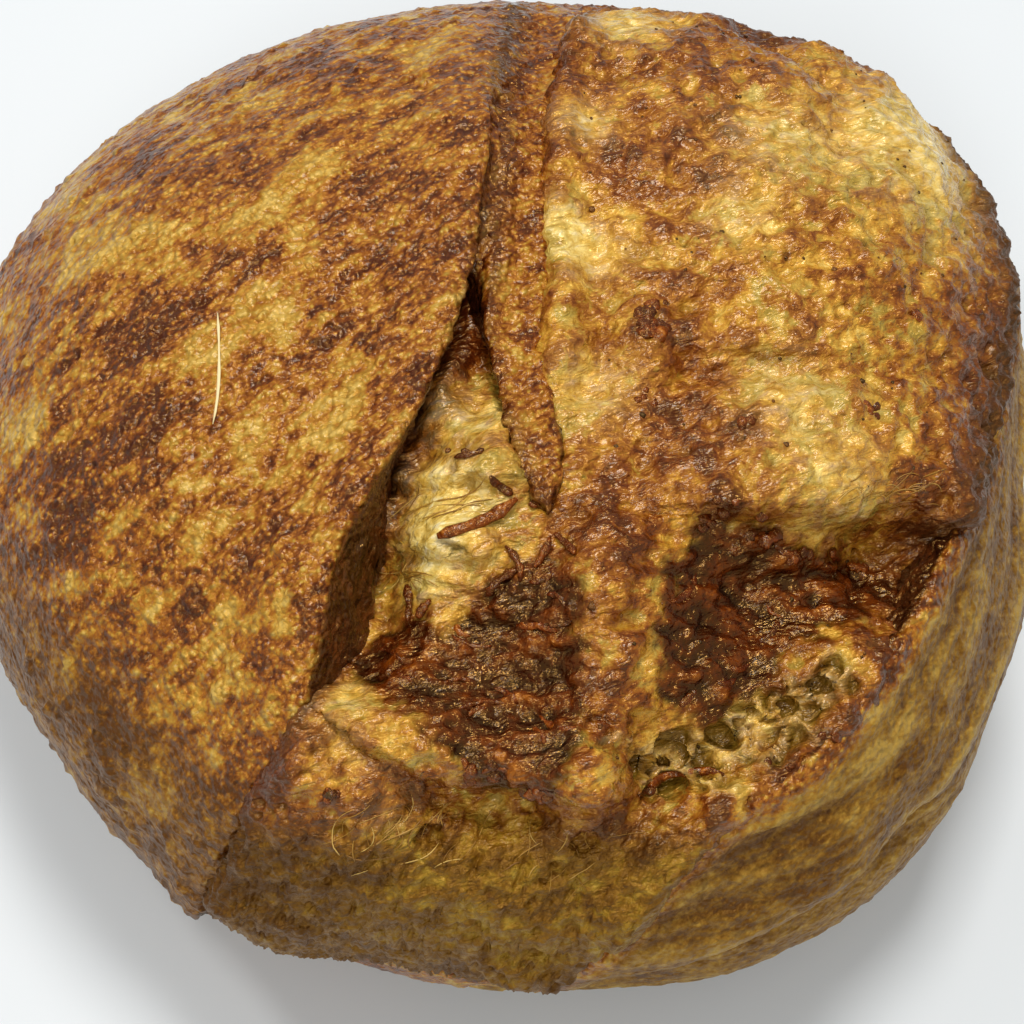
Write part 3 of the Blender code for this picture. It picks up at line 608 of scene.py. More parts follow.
def make_lip(name, line, rise, run, side):
    """A wedge along a line: its edge stands over the line, and its back runs down into the crust."""
    stops = smooth_line(line, CUT_STATIONS)
    surface = on_ball(stops[:, :2])
    along = np.gradient(surface, axis=0)
    across = side * np.cross(along, outward(surface))
    across /= np.linalg.norm(across, axis=1, keepdims=True)
    back = np.linspace(0, 1, LIP_COLUMNS)[None, :, None]
    away = surface[:, None] + across[:, None] * (back * run - LIP_PROUD)
    places = ball(direction_at(away.reshape(-1, 3)))
    facing = outward(places).reshape(away.shape)
    level = crust_rise(places).reshape(away.shape[:2])[:, :, None]
    stand = rise * fade_to_ends(CUT_STATIONS, LIP_FADE) * (1 - back**2) ** 2
    upper = places.reshape(away.shape) + facing * (level + stand - LIP_TUCK)
    depth = LIP_ROOT + stand
    lower = upper - facing * depth + across[:, None] * stops[:, None, 2:3] * depth * (1 - back)
    return slab(name, upper, lower)


# %% Cut and rebuild the crust
BALL_DETAIL = 7
CRUST_GRAIN = 1.28 * MM


def make_crust():
    shape = bmesh.new()
    bmesh.ops.create_icosphere(shape, subdivisions=BALL_DETAIL, radius=1.0)
    mesh = bpy.data.meshes.new("crust")
    shape.to_mesh(mesh)
    shape.free()
    directions = points_of(mesh)
    directions /= np.linalg.norm(directions, axis=1, keepdims=True)
    points = ball(directions)
    points += outward(points) * crust_rise(points)[:, None]
    points[:, 2] = np.maximum(points[:, 2], 0.0)
    move_points(mesh, points)
    crust = bpy.data.objects.new("crust", mesh)
    bpy.context.scene.collection.objects.link(crust)
    cutters = [make_cutter("score_cut", EAR, TONGUE_LEFT), make_cutter("tear_cut", TONGUE_RIGHT, RIM)]
    steps = [("DIFFERENCE", cutter) for cutter in cutters] + [("UNION", make_lip(*lip)) for lip in LIPS]
    for operation, tool in steps:
        step = crust.modifiers.new(tool.name, "BOOLEAN")
        step.operation = operation
        step.solver = "MANIFOLD"
        step.object = tool
        apply_modifiers(crust)
        bpy.data.objects.remove(tool)
    skin = crust.modifiers.new("skin", "REMESH")
    skin.mode = "VOXEL"
    skin.voxel_size = CRUST_GRAIN
    apply_modifiers(crust)
    return crust


crust = make_crust()
print("crust faces:", len(crust.data.polygons))

# %% [markdown]
# ## Blisters and browning of the crust
#
# The crust is never smooth. Steam raised blisters of a few millimetres all over it, and where the dough
# touched the ribs of the proving basket there are long pale streaks. The blisters are moved into the mesh,
# as their outline shows, and the finest ones are left to the material's bump. How far each place browned is
# kept on the mesh as a number, so that the colour follows the shape.

# %% Named blisters and patches of the crust
BIG_BLISTERS = (
    # (u, v, radius in mm, rise in mm)
    (-38.0, -37.0, 3.2, 0.9),
    (-27.5, -40.0, 3.4, 1.0),
    (-24.0, -25.0, 3.4, 1.0),
    (-6.5, 1.0, 3.0, 0.8),
    (-12.5, -2.0, 3.8, 0.8),
    (-18.0, -24.0, 2.6, 0.8),
    (-33.0, -44.0, 2.6, 0.7),
    (-45.0, -9.0, 2.8, 0.7),
    (-14.0, 30.0, 3.0, 0.7),
    (-9.0, 22.0, 3.6, 0.7),
    (-29.0, -29.0, 2.4, 0.7),
)
# where the crust stayed pale or browned deeply: (u, v, radius in mm, how much)
BAKE_PATCHES = (
    (-37.5, 8.5, 9, 0.40),
    (-32.0, 8.0, 7, 0.26),
    (-16.0, 12.5, 8, 0.30),
    (-21.5, 8.5, 7, 0.30),
    (-18.0, -1.0, 7, 0.34),
    (-24.0, -3.0, 6, 0.24),
    (-11.0, -6.5, 7, 0.26),
    (-13.5, -11.5, 7, 0.26),
    (-44.0, -56.5, 8, 0.30),
    (-21.5, -18.0, 6, 0.20),
    (-51.0, -7.5, 7, 0.22),
    (-6.5, 34.0, 7, 0.20),
    (-18.0, -30.0, 7, 0.18),
    (-41.5, -27.5, 6, 0.18),
    (-27.0, -39.5, 8, 0.20),
    (-50.0, 22.0, 8, 0.20),
    (-31.5, -0.5, 10, -0.36),
    (-42.5, -16.5, 12, -0.36),
    (-18.5, 5.0, 6, -0.24),
    (-3.5, 14.5, 5, -0.22),
    (-17.0, 28.0, 9, -0.24),
    (-34.0, -10.0, 9, -0.22),
    (-12.0, -16.0, 5, -0.24),
    (-20.0, -22.5, 6, -0.20),
    (-10.0, 10.5, 7, -0.18),
    (-26.0, 16.0, 8, -0.18),
    (-46.5, -24.0, 9, -0.26),
    (-40.0, -45.0, 9, -0.18),
    (-22.0, -50.0, 8, -0.18),
    (-50.0, -48.0, 9, -0.18),
)
# the red-brown lip where the torn crumb meets the crust in front
SINGED_LIP = (
    (37.6, -32.8),
    (34.3, -37.5),
    (31.3, -42.9),
    (27.9, -47.4),
    (22.2, -50.8),
    (18.9, -55.0),
    (15.6, -57.8),
)
SINGED_REACH = 2.5
STREAK_LENGTH = 24 * MM
STREAK_WIDTH = 3.6 * MM
UPPER_STREAKS_TURN = 36
FRONT_STREAKS_TURN = 4
print("blisters placed by hand:", len(BIG_BLISTERS), "patches:", len(BAKE_PATCHES))


# %% Streaks and patches as numbers at each point
def along_and_across(points, degrees):
    """The points turned so that X runs along the streaks and Y across them."""
    angle = math.radians(degrees)
    along = points[:, 0] * math.cos(angle) + points[:, 1] * math.sin(angle)
    across = points[:, 1] * math.cos(angle) - points[:, 0] * math.sin(angle)
    return np.column_stack([along, across, points[:, 2]])


def streaks(points, degrees, seed):
    wander = 4 * MM * waves(points, 15 * MM, seed)[:, None]
    turned = along_and_across(points + wander, degrees)
    return waves(turned / (STREAK_LENGTH, STREAK_WIDTH, STREAK_LENGTH), 1.0, seed, 3)


def patches(points, spots):
    total = np.zeros(len(points))
    for u, v, radius, strength in spots:
        distance, _ = measure(points, ((u, v),), 3 * radius * MM)
        total += strength * near(distance, radius)
    return total


def singed(points):
    wander = 1.5 * MM * waves(points, 7 * MM, 51)[:, None]
    distance, _ = measure(points + wander, SINGED_LIP, 7 * MM)
    return np.clip(near(distance, SINGED_REACH) * (1.0 + 0.9 * waves(points, 4 * MM, 52, 2)), 0, 1)


# %% Where each kind of skin lies on the crust
WALL_BAND = 9 * MM
FLOOR_DEPTH = CUT_DEPTH - 6 * MM


def crust_zones(points, facing):
    """For each point, how much of it is on a cut's wall or on the painted shadow line under the ear, the
    tongue, the right side or low on the loaf.
    """
    direction = direction_at(points)
    skin, places = ball(direction), map_of(direction)
    out = outward(skin)
    height = ((points - skin) * out).sum(axis=1) - crust_rise(skin)
    ear, rim, tongue_edge = (signed(points, line) for line in (EAR, RIM, TONGUE_LEFT))
    nearest_cut = np.minimum(np.minimum(np.abs(ear), np.abs(rim)), np.abs(tongue_edge))
    steep = smooth_step(0.72, 0.40, (facing * out).sum(axis=1))
    wall = smooth_step(-1.0 * MM, -2.8 * MM, height) + steep * (nearest_cut < WALL_BAND)
    # painted shadow: a dark line along the ear's edge, where the ear overhangs the tongue, coloured as wall
    painted_slit_shadow = 0.9 * near(ear, 0.9) * smooth_step(-12, 0, places[:, 1])
    low_down = smooth_step(48, 66, np.hypot(*places.T))
    return SimpleNamespace(
        places=places,
        ear=ear,
        rim=rim,
        tongue_edge=tongue_edge,
        floor=height < -FLOOR_DEPTH,
        wall=np.maximum(np.clip(wall, 0, 1), painted_slit_shadow) * (points[:, 2] > FOOT_HEIGHT),
        right_side=smooth_step(2 * MM, 7 * MM, -rim) * (ear < 0),
        tongue=smooth_step(-1.5 * MM, 1 * MM, -tongue_edge) * (rim > 0),
        low_down=low_down,
        low_left=low_down * (ear > 0) * smooth_step(-10, -40, places[:, 1]),
    )


# %% Marks of the basket, blisters and burnt edges
BLISTER_SIZE = 3.6 * MM
SMALL_BLISTER_SIZE = 2.1 * MM
SWELLING_SIZE = 7.0 * MM
BLISTER_RIM = 0.7


def basket_marks(points, zone):
    """Long streaks above, rings low down, both from about -1 to 1; and the rings by themselves."""
    away, turn = np.hypot(*zone.places.T), np.arctan2(*zone.places.T)
    ring = waves(np.column_stack([0 * away, away, turn * 6]), 3.2, 5, 2)
    upper = smooth_step(-34, -20, zone.places[:, 1])
    streak = blend(streaks(points, FRONT_STREAKS_TURN, 7), streaks(points, UPPER_STREAKS_TURN, 6), upper)
    return blend(streak, ring, zone.low_down), ring


def crust_blisters(points, places):
    """The blisters, the swellings, the rise in mm of both, that of the named ones, and their dark rims."""
    blister = domes(points, BLISTER_SIZE, 0.42, 1) * smooth_step(-0.25, 0.25, waves(points, 11 * MM, 2))
    swollen = domes(points, SWELLING_SIZE, 0.34, 56) * smooth_step(-0.1, 0.2, waves(points, 14 * MM, 57))
    swollen *= smooth_step(2, -12, places[:, 1])
    rise = 0.80 * blister + 0.25 * domes(points, SMALL_BLISTER_SIZE, 0.5, 3) + 0.9 * swollen**0.8
    named_rise, rims = np.zeros(len(points)), np.zeros(len(points))
    for u, v, radius, height in BIG_BLISTERS:
        distance, _ = measure(points, ((u, v),), (radius + 2) * MM)
        dome = np.clip(1 - (distance / (radius * MM)) ** 2, 0, 1)
        named_rise += height * dome**0.8
        blister = np.maximum(blister, dome)
        rims += near(distance, BLISTER_RIM, radius)
    return blister, swollen, rise, named_rise, rims


def burnt_rim(points, zone):
    burn = near(zone.rim, 5.5) * smooth_step(24, 44, zone.places[:, 0])
    return burn * smooth_step(-30, -10, zone.places[:, 1]) * (0.8 + 0.6 * waves(points, 5 * MM, 11, 2))


# %% How far each place of the crust browned: 0 is the darkest, 1 the palest
PALE_PATCH = 0.80


def browning(points, zone, streak, ring, blister):
    mottle = waves(points, 10 * MM, 9, 4)
    drawn = along_and_across(points + 3 * MM * waves(points, 14 * MM, 19)[:, None], 34)
    fine = waves(drawn / (2.6, 1.0, 1.4), 2.6 * MM, 10, 3)
    pale_lines = smooth_step(0.45, 0.9, crests(streak)) * smooth_step(-0.2, 0.4, waves(points, 17 * MM, 17))
    bake = 0.40 + 0.18 * streak + 0.26 * mottle + 0.34 * fine
    bake += 0.20 * blister * (0.6 + fine) + 0.18 * pale_lines
    named = patches(points, BAKE_PATCHES) + 0.12 * waves(points, 4.5 * MM, 18, 3)
    pale_patch = smooth_step(0.09, 0.19, named)
    bake += np.clip(named, -1, 0.2) * (1 - pale_patch)
    bake = blend(bake, PALE_PATCH + 0.15 * streak, 0.8 * pale_patch)
    bake = blend(bake, 0.42 + 0.34 * waves(points, 4 * MM, 16, 3), zone.tongue)
    bake = blend(bake, 0.45 + 0.42 * ring + 0.22 * mottle, zone.right_side)
    return bake, fine


# %% Roughen the crust, keep how it baked, and open it over the crumb
SKIN_SMOOTHING = 5


def remove_points(mesh, gone):
    shape = bmesh.new()
    shape.from_mesh(mesh)
    shape.verts.ensure_lookup_table()
    bmesh.ops.delete(shape, geom=[shape.verts[k] for k in np.flatnonzero(gone)], context="VERTS")
    shape.to_mesh(mesh)
    shape.free()


def roughen_crust(crust):
    smooth = crust.modifiers.new("smooth", "SMOOTH")
    smooth.iterations = SKIN_SMOOTHING
    smooth.factor = 0.5
    apply_modifiers(crust)
    mesh = crust.data
    points, facing = points_of(mesh), facing_of(mesh)
    zone = crust_zones(points, facing)
    streak, ring = basket_marks(points, zone)
    blister, swollen, rise, named_rise, rims = crust_blisters(points, zone.places)
    rise = (rise + 0.35 * waves(points, 7 * MM, 4, 3)) * (1 - 0.7 * zone.right_side) + 0.25 * streak
    rise += zone.right_side * (0.7 * ring + 0.3 * waves(points, 2.5 * MM, 12, 2))
    rise += zone.tongue * 0.7 * waves(points, 3.2 * MM, 13, 2)
    rise += zone.wall * 0.4 * waves(points, 3 * MM, 8, 3) + named_rise
    folds = np.sin((zone.ear / MM) * 1.9 + 1.5 * waves(points, 9 * MM, 14)) * (zone.ear > 0)
    rise += 0.22 * folds * near(zone.ear, 4, 5)
    burn = burnt_rim(points, zone)
    lipped = singed(points)
    rise += 1.0 * burn * waves(points, 2.6 * MM, 15, 2) + 1.3 * lipped
    move_points(mesh, points + facing * (rise * above_foot(points) * MM)[:, None])
    bake, fine = browning(points, zone, streak, ring, blister)
    bake += 0.14 * swollen * (1 - zone.low_down) - 0.25 * np.clip(rims, 0, 1)
    bake = blend(bake, 0.20, lipped) - 0.16 * zone.low_left
    lip = near(zone.ear, 2.0, 1.0) + near(zone.tongue_edge, 2.2, -0.8)
    store(mesh, "bake", np.clip(bake, 0, 1))
    # the wall is coloured dark partly as painted shade under the ear, over the cut walls' own browning
    store(mesh, "wall", zone.wall)
    store(mesh, "lip", np.clip(lip * (1 + 0.5 * fine), 0, 1))
    store(mesh, "burn", np.clip(burn, 0, 1))
    store(mesh, "side", np.maximum(zone.right_side, 0.7 * zone.low_left) * (1 - lipped))
    remove_points(mesh, zone.floor)
    mesh.shade_smooth()


roughen_crust(crust)
print("crust faces that show:", len(crust.data.polygons))

# %% [markdown]
# ## The torn crumb
#
# The crumb is a height over the map: a fine grid of (u, v) places is drawn on to the ball, then raised by
# the relief, and then by the webs, pores and ridges of each kind of crumb. A grid keeps its detail where it
# is wanted, and only the part of it that shows through the cuts is kept.

# %% Beds of cheese, patches and creases of the crumb
# outlines of the two beds of melted cheese, on the map
CHEESE_BEDS = (
    (
        (-14.0, -35.0),
        (-11.5, -30.5),
        (-8.5, -27.0),
        (-5.9, -30.5),
        (-0.3, -24.0),
        (4.4, -20.5),
        (6.2, -26.6),
        (7.0, -37.2),
        (6.0, -45.0),
        (4.0, -51.0),
        (-2.1, -49.0),
        (-6.8, -43.5),
        (-11.0, -39.4),
    ),
    (
        (14.7, -16.8),
        (19.5, -18.2),
        (26.3, -21.4),
        (35.0, -22.8),
        (42.0, -24.8),
        (47.5, -27.2),
        (37.1, -29.5),
        (27.5, -32.0),
        (23.5, -36.0),
        (18.5, -41.0),
        (13.6, -37.4),
        (12.0, -29.2),
        (13.0, -23.1),
    ),
)
# where the crumb toasted darker, stayed pale with painted highlights, or was scorched: (u, v, radius in mm,
# how much)
TOAST_PATCHES = (
    (9.0, 46.0, 12, 0.14),
    (11.0, 27.0, 10, 0.18),
    (27.0, 43.0, 10, 0.30),
    (21.0, 33.0, 9, 0.30),
    (15.0, 14.0, 14, 0.14),
    (12.0, -2.0, 9, 0.40),
    (13.0, -9.0, 8, 0.45),
    (9.5, -13.0, 8, 0.40),
    (7.5, -17.5, 6, 0.40),
    (19.0, -11.0, 5, 0.45),
    (7.0, 22.0, 8, 0.20),
    (52.0, 4.0, 12, 0.45),
    (56.0, 24.0, 12, 0.35),
    (47.0, -13.0, 9, 0.50),
    (40.0, -17.0, 7, 0.35),
    (16.0, -15.5, 6, 0.50),
    (5.5, -19.0, 6, 0.45),
    (-14.0, -47.5, 8, 0.30),
    (-20.0, -58.0, 12, 0.45),
    (-31.0, -72.0, 16, 0.42),
    (-8.0, -49.0, 6, 0.30),
    (9.0, -54.0, 7, 0.35),
    (-3.0, -12.5, 4, 0.50),
    (9.5, -22.0, 6, 0.45),
    (8.6, -30.0, 7, 0.30),
    (7.2, -40.0, 6, 0.50),
    (10.5, -47.0, 6, 0.35),
    (6.5, 4.5, 5, 0.15),
    (20.0, 24.0, 12, 0.15),
    (9.5, 12.5, 7, 0.38),
    (14.5, 10.0, 5, 0.26),
    (17.3, 18.5, 6, 0.30),
    (-4.5, -8.5, 4, 0.40),
    (27.0, -47.0, 6, 0.60),
    (32.0, -41.0, 6, 0.55),
    (37.0, -35.0, 6, 0.50),
    (0.0, -92.0, 12, 0.40),
    (-20.0, -90.0, 14, 0.40),
)
PALE_CRUMB_AND_HIGHLIGHTS = (
    (41.0, 22.0, 15, 0.9),
    (47.0, 31.0, 11, 0.6),
    (5.0, 4.0, 6, 1.0),
    (5.5, -6.0, 6, 0.8),
    (-5.0, -17.5, 9, 1.1),
    (-8.5, -24.0, 8, 1.1),
    (-3.0, -8.0, 7, 0.8),
    (28.0, -16.0, 8, 0.5),
    (13.0, 42.0, 9, 0.7),
    (3.2, 6.0, 5, 0.6),
    (23.0, 16.0, 10, 0.5),
    (24.0, -8.5, 8, 0.5),
    (6.5, 18.0, 5, 0.6),
    (18.0, 8.0, 6, 0.5),
    (-14.5, -42.0, 6, 0.6),
    (-13.0, -52.0, 5, 0.4),
)
CHAR_SPOTS = (
    (10.3, -2.2, 3.4, 0.9),
    (33.1, -10.2, 2.6, 0.7),
    (18.5, -11.0, 2.4, 0.6),
    (9.3, -8.7, 2.0, 0.9),
    (6.8, -27.7, 1.8, 0.9),
    (5.9, 8.0, 2.0, 0.9),
    (16.1, 6.1, 1.2, 0.8),
    (28.3, 3.6, 1.4, 0.9),
    (-16.5, -50.0, 2.2, 0.9),
    (2.4, -16.5, 2.0, 0.8),
    (32.5, -7.3, 1.4, 0.7),
    (22.3, -13.3, 1.6, 0.7),
    (3.8, -50.5, 2.4, 0.7),
    (17.0, -17.0, 3.6, 0.6),
)
# creases of the torn crumb, painted darker at the bottom as shade: (line, half width in mm, depth in mm)
CREASES = (
    (((-8.0, -13.4), (-3.5, -13.9), (1.0, -14.0)), 1.0, 2.2),
    (((-9.8, -20.6), (-6.5, -21.4), (-3.6, -22.6)), 1.0, 2.0),
    (((-8.5, -24.6), (-6.0, -26.6)), 0.8, 1.0),
    (((13.0, -3.2), (20.0, -4.6), (29.0, -4.4), (38.0, -2.6)), 1.1, 1.6),
    (((19.0, -19.6), (27.0, -20.9), (36.0, -22.0), (45.0, -23.4)), 1.4, 1.4),
    (((27.0, 42.0), (31.5, 33.0), (30.0, 24.0)), 1.4, 1.6),
    (((30.0, 14.0), (38.0, 12.0), (45.0, 16.0)), 1.1, 1.0),
    (((5.0, -36.0), (6.6, -46.0), (5.5, -54.0)), 1.2, 1.6),
    (((-14.0, -43.6), (-9.0, -46.8), (-5.0, -50.5)), 1.0, 1.4),
    (((-22.0, -50.0), (-25.0, -58.0), (-31.0, -66.0)), 1.2, 1.2),
    (((27.0, -30.0), (36.0, -33.0), (41.0, -31.0)), 1.0, 1.2),
    (((18.0, -8.5), (27.0, -11.5), (34.0, -14.0)), 0.9, 0.8),
)
print("toasted patches:", len(TOAST_PATCHES), "pale ones:", len(PALE_CRUMB_AND_HIGHLIGHTS), "creases:", len(CREASES))

# %% Lay the crumb out as a grid
CRUMB_STEP = 0.36
CRUMB_MARGIN = 4 * MM
EAR_MARGIN = 18 * MM
CRUMB_U = (-60.0, 70.0)
CRUMB_V = (-104.0, 64.0)
CRUMB_FRONT = -101


def inside_by(outline, places):
    """Degrees inside an outline on the map, negative outside."""
    outline = np.asarray(outline, float)
    nearest = np.full(len(places), np.inf)
    crossings = np.zeros(len(places), int)
    for a, b in zip(outline, np.roll(outline, -1, axis=0)):
        run = b - a
        along = np.clip((places - a) @ run / (run @ run), 0, 1)
        nearest = np.minimum(nearest, np.linalg.norm(places - a - along[:, None] * run, axis=1))
        spans = (a[1] > places[:, 1]) != (b[1] > places[:, 1])
        with np.errstate(divide="ignore", invalid="ignore"):
            crosses = places[:, 0] < run[0] * (places[:, 1] - a[1]) / run[1] + a[0]
        crossings += spans & crosses
    return np.where(crossings % 2 == 1, nearest, -nearest)


def shut_inset(points, sides):
    """Sinks the crumb under the crust wherever the loaf stayed shut."""
    ear, rim, left, right = sides
    on_tongue = (left < 0) & (right > 0)
    shut = np.maximum(np.maximum(ear, -rim), 0)
    shut = np.maximum(shut, np.where(on_tongue, 2.0 * np.minimum(-left, right), 0.0))
    below = np.clip(-0.10 - direction_at(points)[:, 2], 0, 1) * MEAN_RADIUS
    return np.clip(np.maximum(shut, below), 0, 2 * CRUST_INSET)


def make_crumb():
    us = np.arange(*CRUMB_U, CRUMB_STEP)
    vs = np.arange(*CRUMB_V, CRUMB_STEP)
    grid_u, grid_v = np.meshgrid(us, vs)
    places = np.column_stack([grid_u.ravel(), grid_v.ravel()])
    points = on_ball(places)
    sides = [signed(points, line) for line in (EAR, RIM, TONGUE_LEFT, TONGUE_RIGHT)]
    ear, rim, left, right = sides
    in_score = left > -CRUMB_MARGIN
    in_tear = right < CRUMB_MARGIN
    keep = (in_score | in_tear) & (places[:, 1] > CRUMB_FRONT) & (ear < EAR_MARGIN) & (rim > -CRUMB_MARGIN)
    keep = keep.reshape(len(vs), len(us))
    faces = keep[:-1, :-1] & keep[1:, :-1] & keep[:-1, 1:] & keep[1:, 1:]
    rows, columns = np.nonzero(faces)
    corners = rows * len(us) + columns
    rings = np.column_stack([corners, corners + 1, corners + len(us) + 1, corners + len(us)])
    used = np.unique(rings)
    order = np.full(len(places), -1)
    order[used] = np.arange(len(used))
    points, places = points[used], places[used]
    sides = [side[used] for side in sides]
    facing = outward(points)
    raised = points + facing * (crumb_rise(points) - shut_inset(points, sides))[:, None]
    made = new_mesh_object("torn_crumb", raised, order[rings].tolist())
    return made, places, sides


torn_crumb, crumb_places, crumb_sides = make_crumb()
print("crumb faces:", len(torn_crumb.data.polygons))

# %% [markdown]
# Steam tore the crumb into webs: sharp crests of film between soft hollows, with a round pore here and there.
# Each kind of crumb has a height of its own. The dome is webs, the front is fibres that were pulled apart,
# the honeycomb is thin walls round deep cells, and melted cheese is strings that ran across the tear and set.
# The heights are blended by how far each place belongs to each kind.

# %% How much of each kind of crumb a place is
COMB_BED = (
    (9.5, -43.0),
    (17.0, -41.5),
    (24.0, -36.5),
    (30.0, -33.5),
    (32.0, -36.5),
    (25.5, -45.0),
    (15.0, -51.0),
)


def crumb_kinds(points, places):
    """How much of each place is cheese, honeycomb, front and so on, and the raggedness of their edges."""
    ragged = 1.6 * waves(points, 7 * MM, 20, 3) + 1.0 * waves(points, 2.5 * MM, 21, 2)
    beds = [smooth_step(-0.8, 0.9, inside_by(outline, places) + ragged) for outline in CHEESE_BEDS]
    cheese = np.maximum(*beds)
    return SimpleNamespace(
        ragged=ragged,
        cheese=cheese,
        front=smooth_step(-50, -60, places[:, 1]),
        comb=smooth_step(-1.5, 1.0, inside_by(COMB_BED, places) + ragged) * (1 - cheese),
        pale=patches(points, PALE_CRUMB_AND_HIGHLIGHTS),
        lipped=singed(points) * (1 - cheese),
        char=patches(points, CHAR_SPOTS) * (0.8 + 0.8 * waves(points, 1.8 * MM, 24, 2)),
    )


# %% Heights of each kind of crumb, in mm
WEB_SIZE = 5.5 * MM
FINE_WEB_SIZE = 2.2 * MM
PORE_SIZE = 3.2 * MM
COMB_SIZE = 7.0 * MM
FIBRE_SIZE = 1.7 * MM
STRING_SIZE = 2.7 * MM
LUMP_SIZE = 2.3 * MM


def torn_webs(points, pale):
    """The webs and finer webs, drawn out across the tear, the pores, and the height of all of them."""
    drawn = along_and_across(points, 20) / (1.4, 1.0, 1.0)
    webs = crests(waves(drawn, WEB_SIZE, 25, 2))
    fine_webs = crests(waves(drawn, FINE_WEB_SIZE, 26, 2))
    pores = domes(points, PORE_SIZE, 0.36, 27) * smooth_step(0.05, 0.40, waves(points, 12 * MM, 28))
    height = 1.1 * waves(drawn, 9 * MM, 40, 2) + 1.05 * webs + 0.40 * fine_webs - 1.0 * pores
    height += 0.15 * waves(points, 1.5 * MM, 33, 2)
    return webs, fine_webs, pores, height * (1 - 0.55 * np.clip(pale, 0, 1))


def honeycomb(points):
    """The walls of the cells, how far each place is from a wall, and the height of the cells."""
    first, second = cells(points, COMB_SIZE, 29)
    between = second - first
    wall = smooth_step(0.16, 0.0, between)
    height = 1.3 * wall - 1.8 * smooth_step(0.0, 0.30, between) + 0.2 * waves(points, 2 * MM, 36, 2)
    return wall, between, height


def melted_cheese(points, ragged, fine_webs):
    """How near each place is to a crest of the cheese, and the height of its strings and lumps."""
    flow = points + 1.6 * MM * waves(points, 6 * MM, 31, 2)[:, None]
    strings = 2.0 * waves(along_and_across(flow, -4) / (3.2, 1.0, 2.0), STRING_SIZE, 35, 2)
    lump = domes(points, LUMP_SIZE, 0.62, 32)
    crest = 0.46 + 0.22 * strings + 0.10 * lump + 0.12 * fine_webs
    return crest, 0.3 + 0.60 * strings + 0.32 * fine_webs + 0.30 * lump + 0.4 * ragged


def crumb_creases(points):
    """How far each place is in a crease, which is painted darker as shade, and how deep the creases go there.
    """
    crease, deep = np.zeros(len(points)), np.zeros(len(points))
    wander = 1.2 * MM * waves(points, 6 * MM, 38)[:, None]
    for line, half_width, depth in CREASES:
        distance, _ = measure(points + wander, line, 5 * MM)
        fold = near(distance, half_width)
        deep += depth * fold
        crease = np.maximum(crease, fold * min(1, depth / 1.8))
    return crease, deep


# %% How far each place of the crumb toasted, with painted shadow along the ear's foot: 0 is pale and 1 is nearly black
TOAST_LEVEL = 0.35
PALE_LIFT = 0.45
LIP_TOAST = 0.9


def toasting(points, places, sides, kind):
    ear, rim, _, right = sides
    toast_and_ear_shadow = TOAST_LEVEL + 0.85 * patches(points, TOAST_PATCHES) - PALE_LIFT * kind.pale
    toast_and_ear_shadow += 0.16 * waves(points, 9 * MM, 22, 3) + 0.20 * waves(points, 3.5 * MM, 34, 2)
    toast_and_ear_shadow += 0.6 * near(rim, 8) * smooth_step(-40, -14, places[:, 1])
    toast_and_ear_shadow += 0.25 * near(right, 5) * smooth_step(2, 14, places[:, 1])
    # painted shadow: the crumb along the foot of the ear, which the ear overhangs, is darkened like toast
    toast_and_ear_shadow += 0.65 * near(ear, 4, 0.5) * smooth_step(-78, -68, places[:, 1])
    return blend(toast_and_ear_shadow, 1.0, LIP_TOAST * kind.lipped)


def crumb_burn(points, places, rim):
    """Scorching of the crumb where it runs under the far rim."""
    burn = near(np.clip(rim, 0, None), 7.5) * smooth_step(-30, -12, places[:, 1])
    return burn * smooth_step(24, 44, places[:, 0]) * (1.0 + 1.0 * waves(points, 4 * MM, 23, 3))


# %% Raise the crumb, and keep what the material needs
CRUMB_FOOT = 0.5 * MM


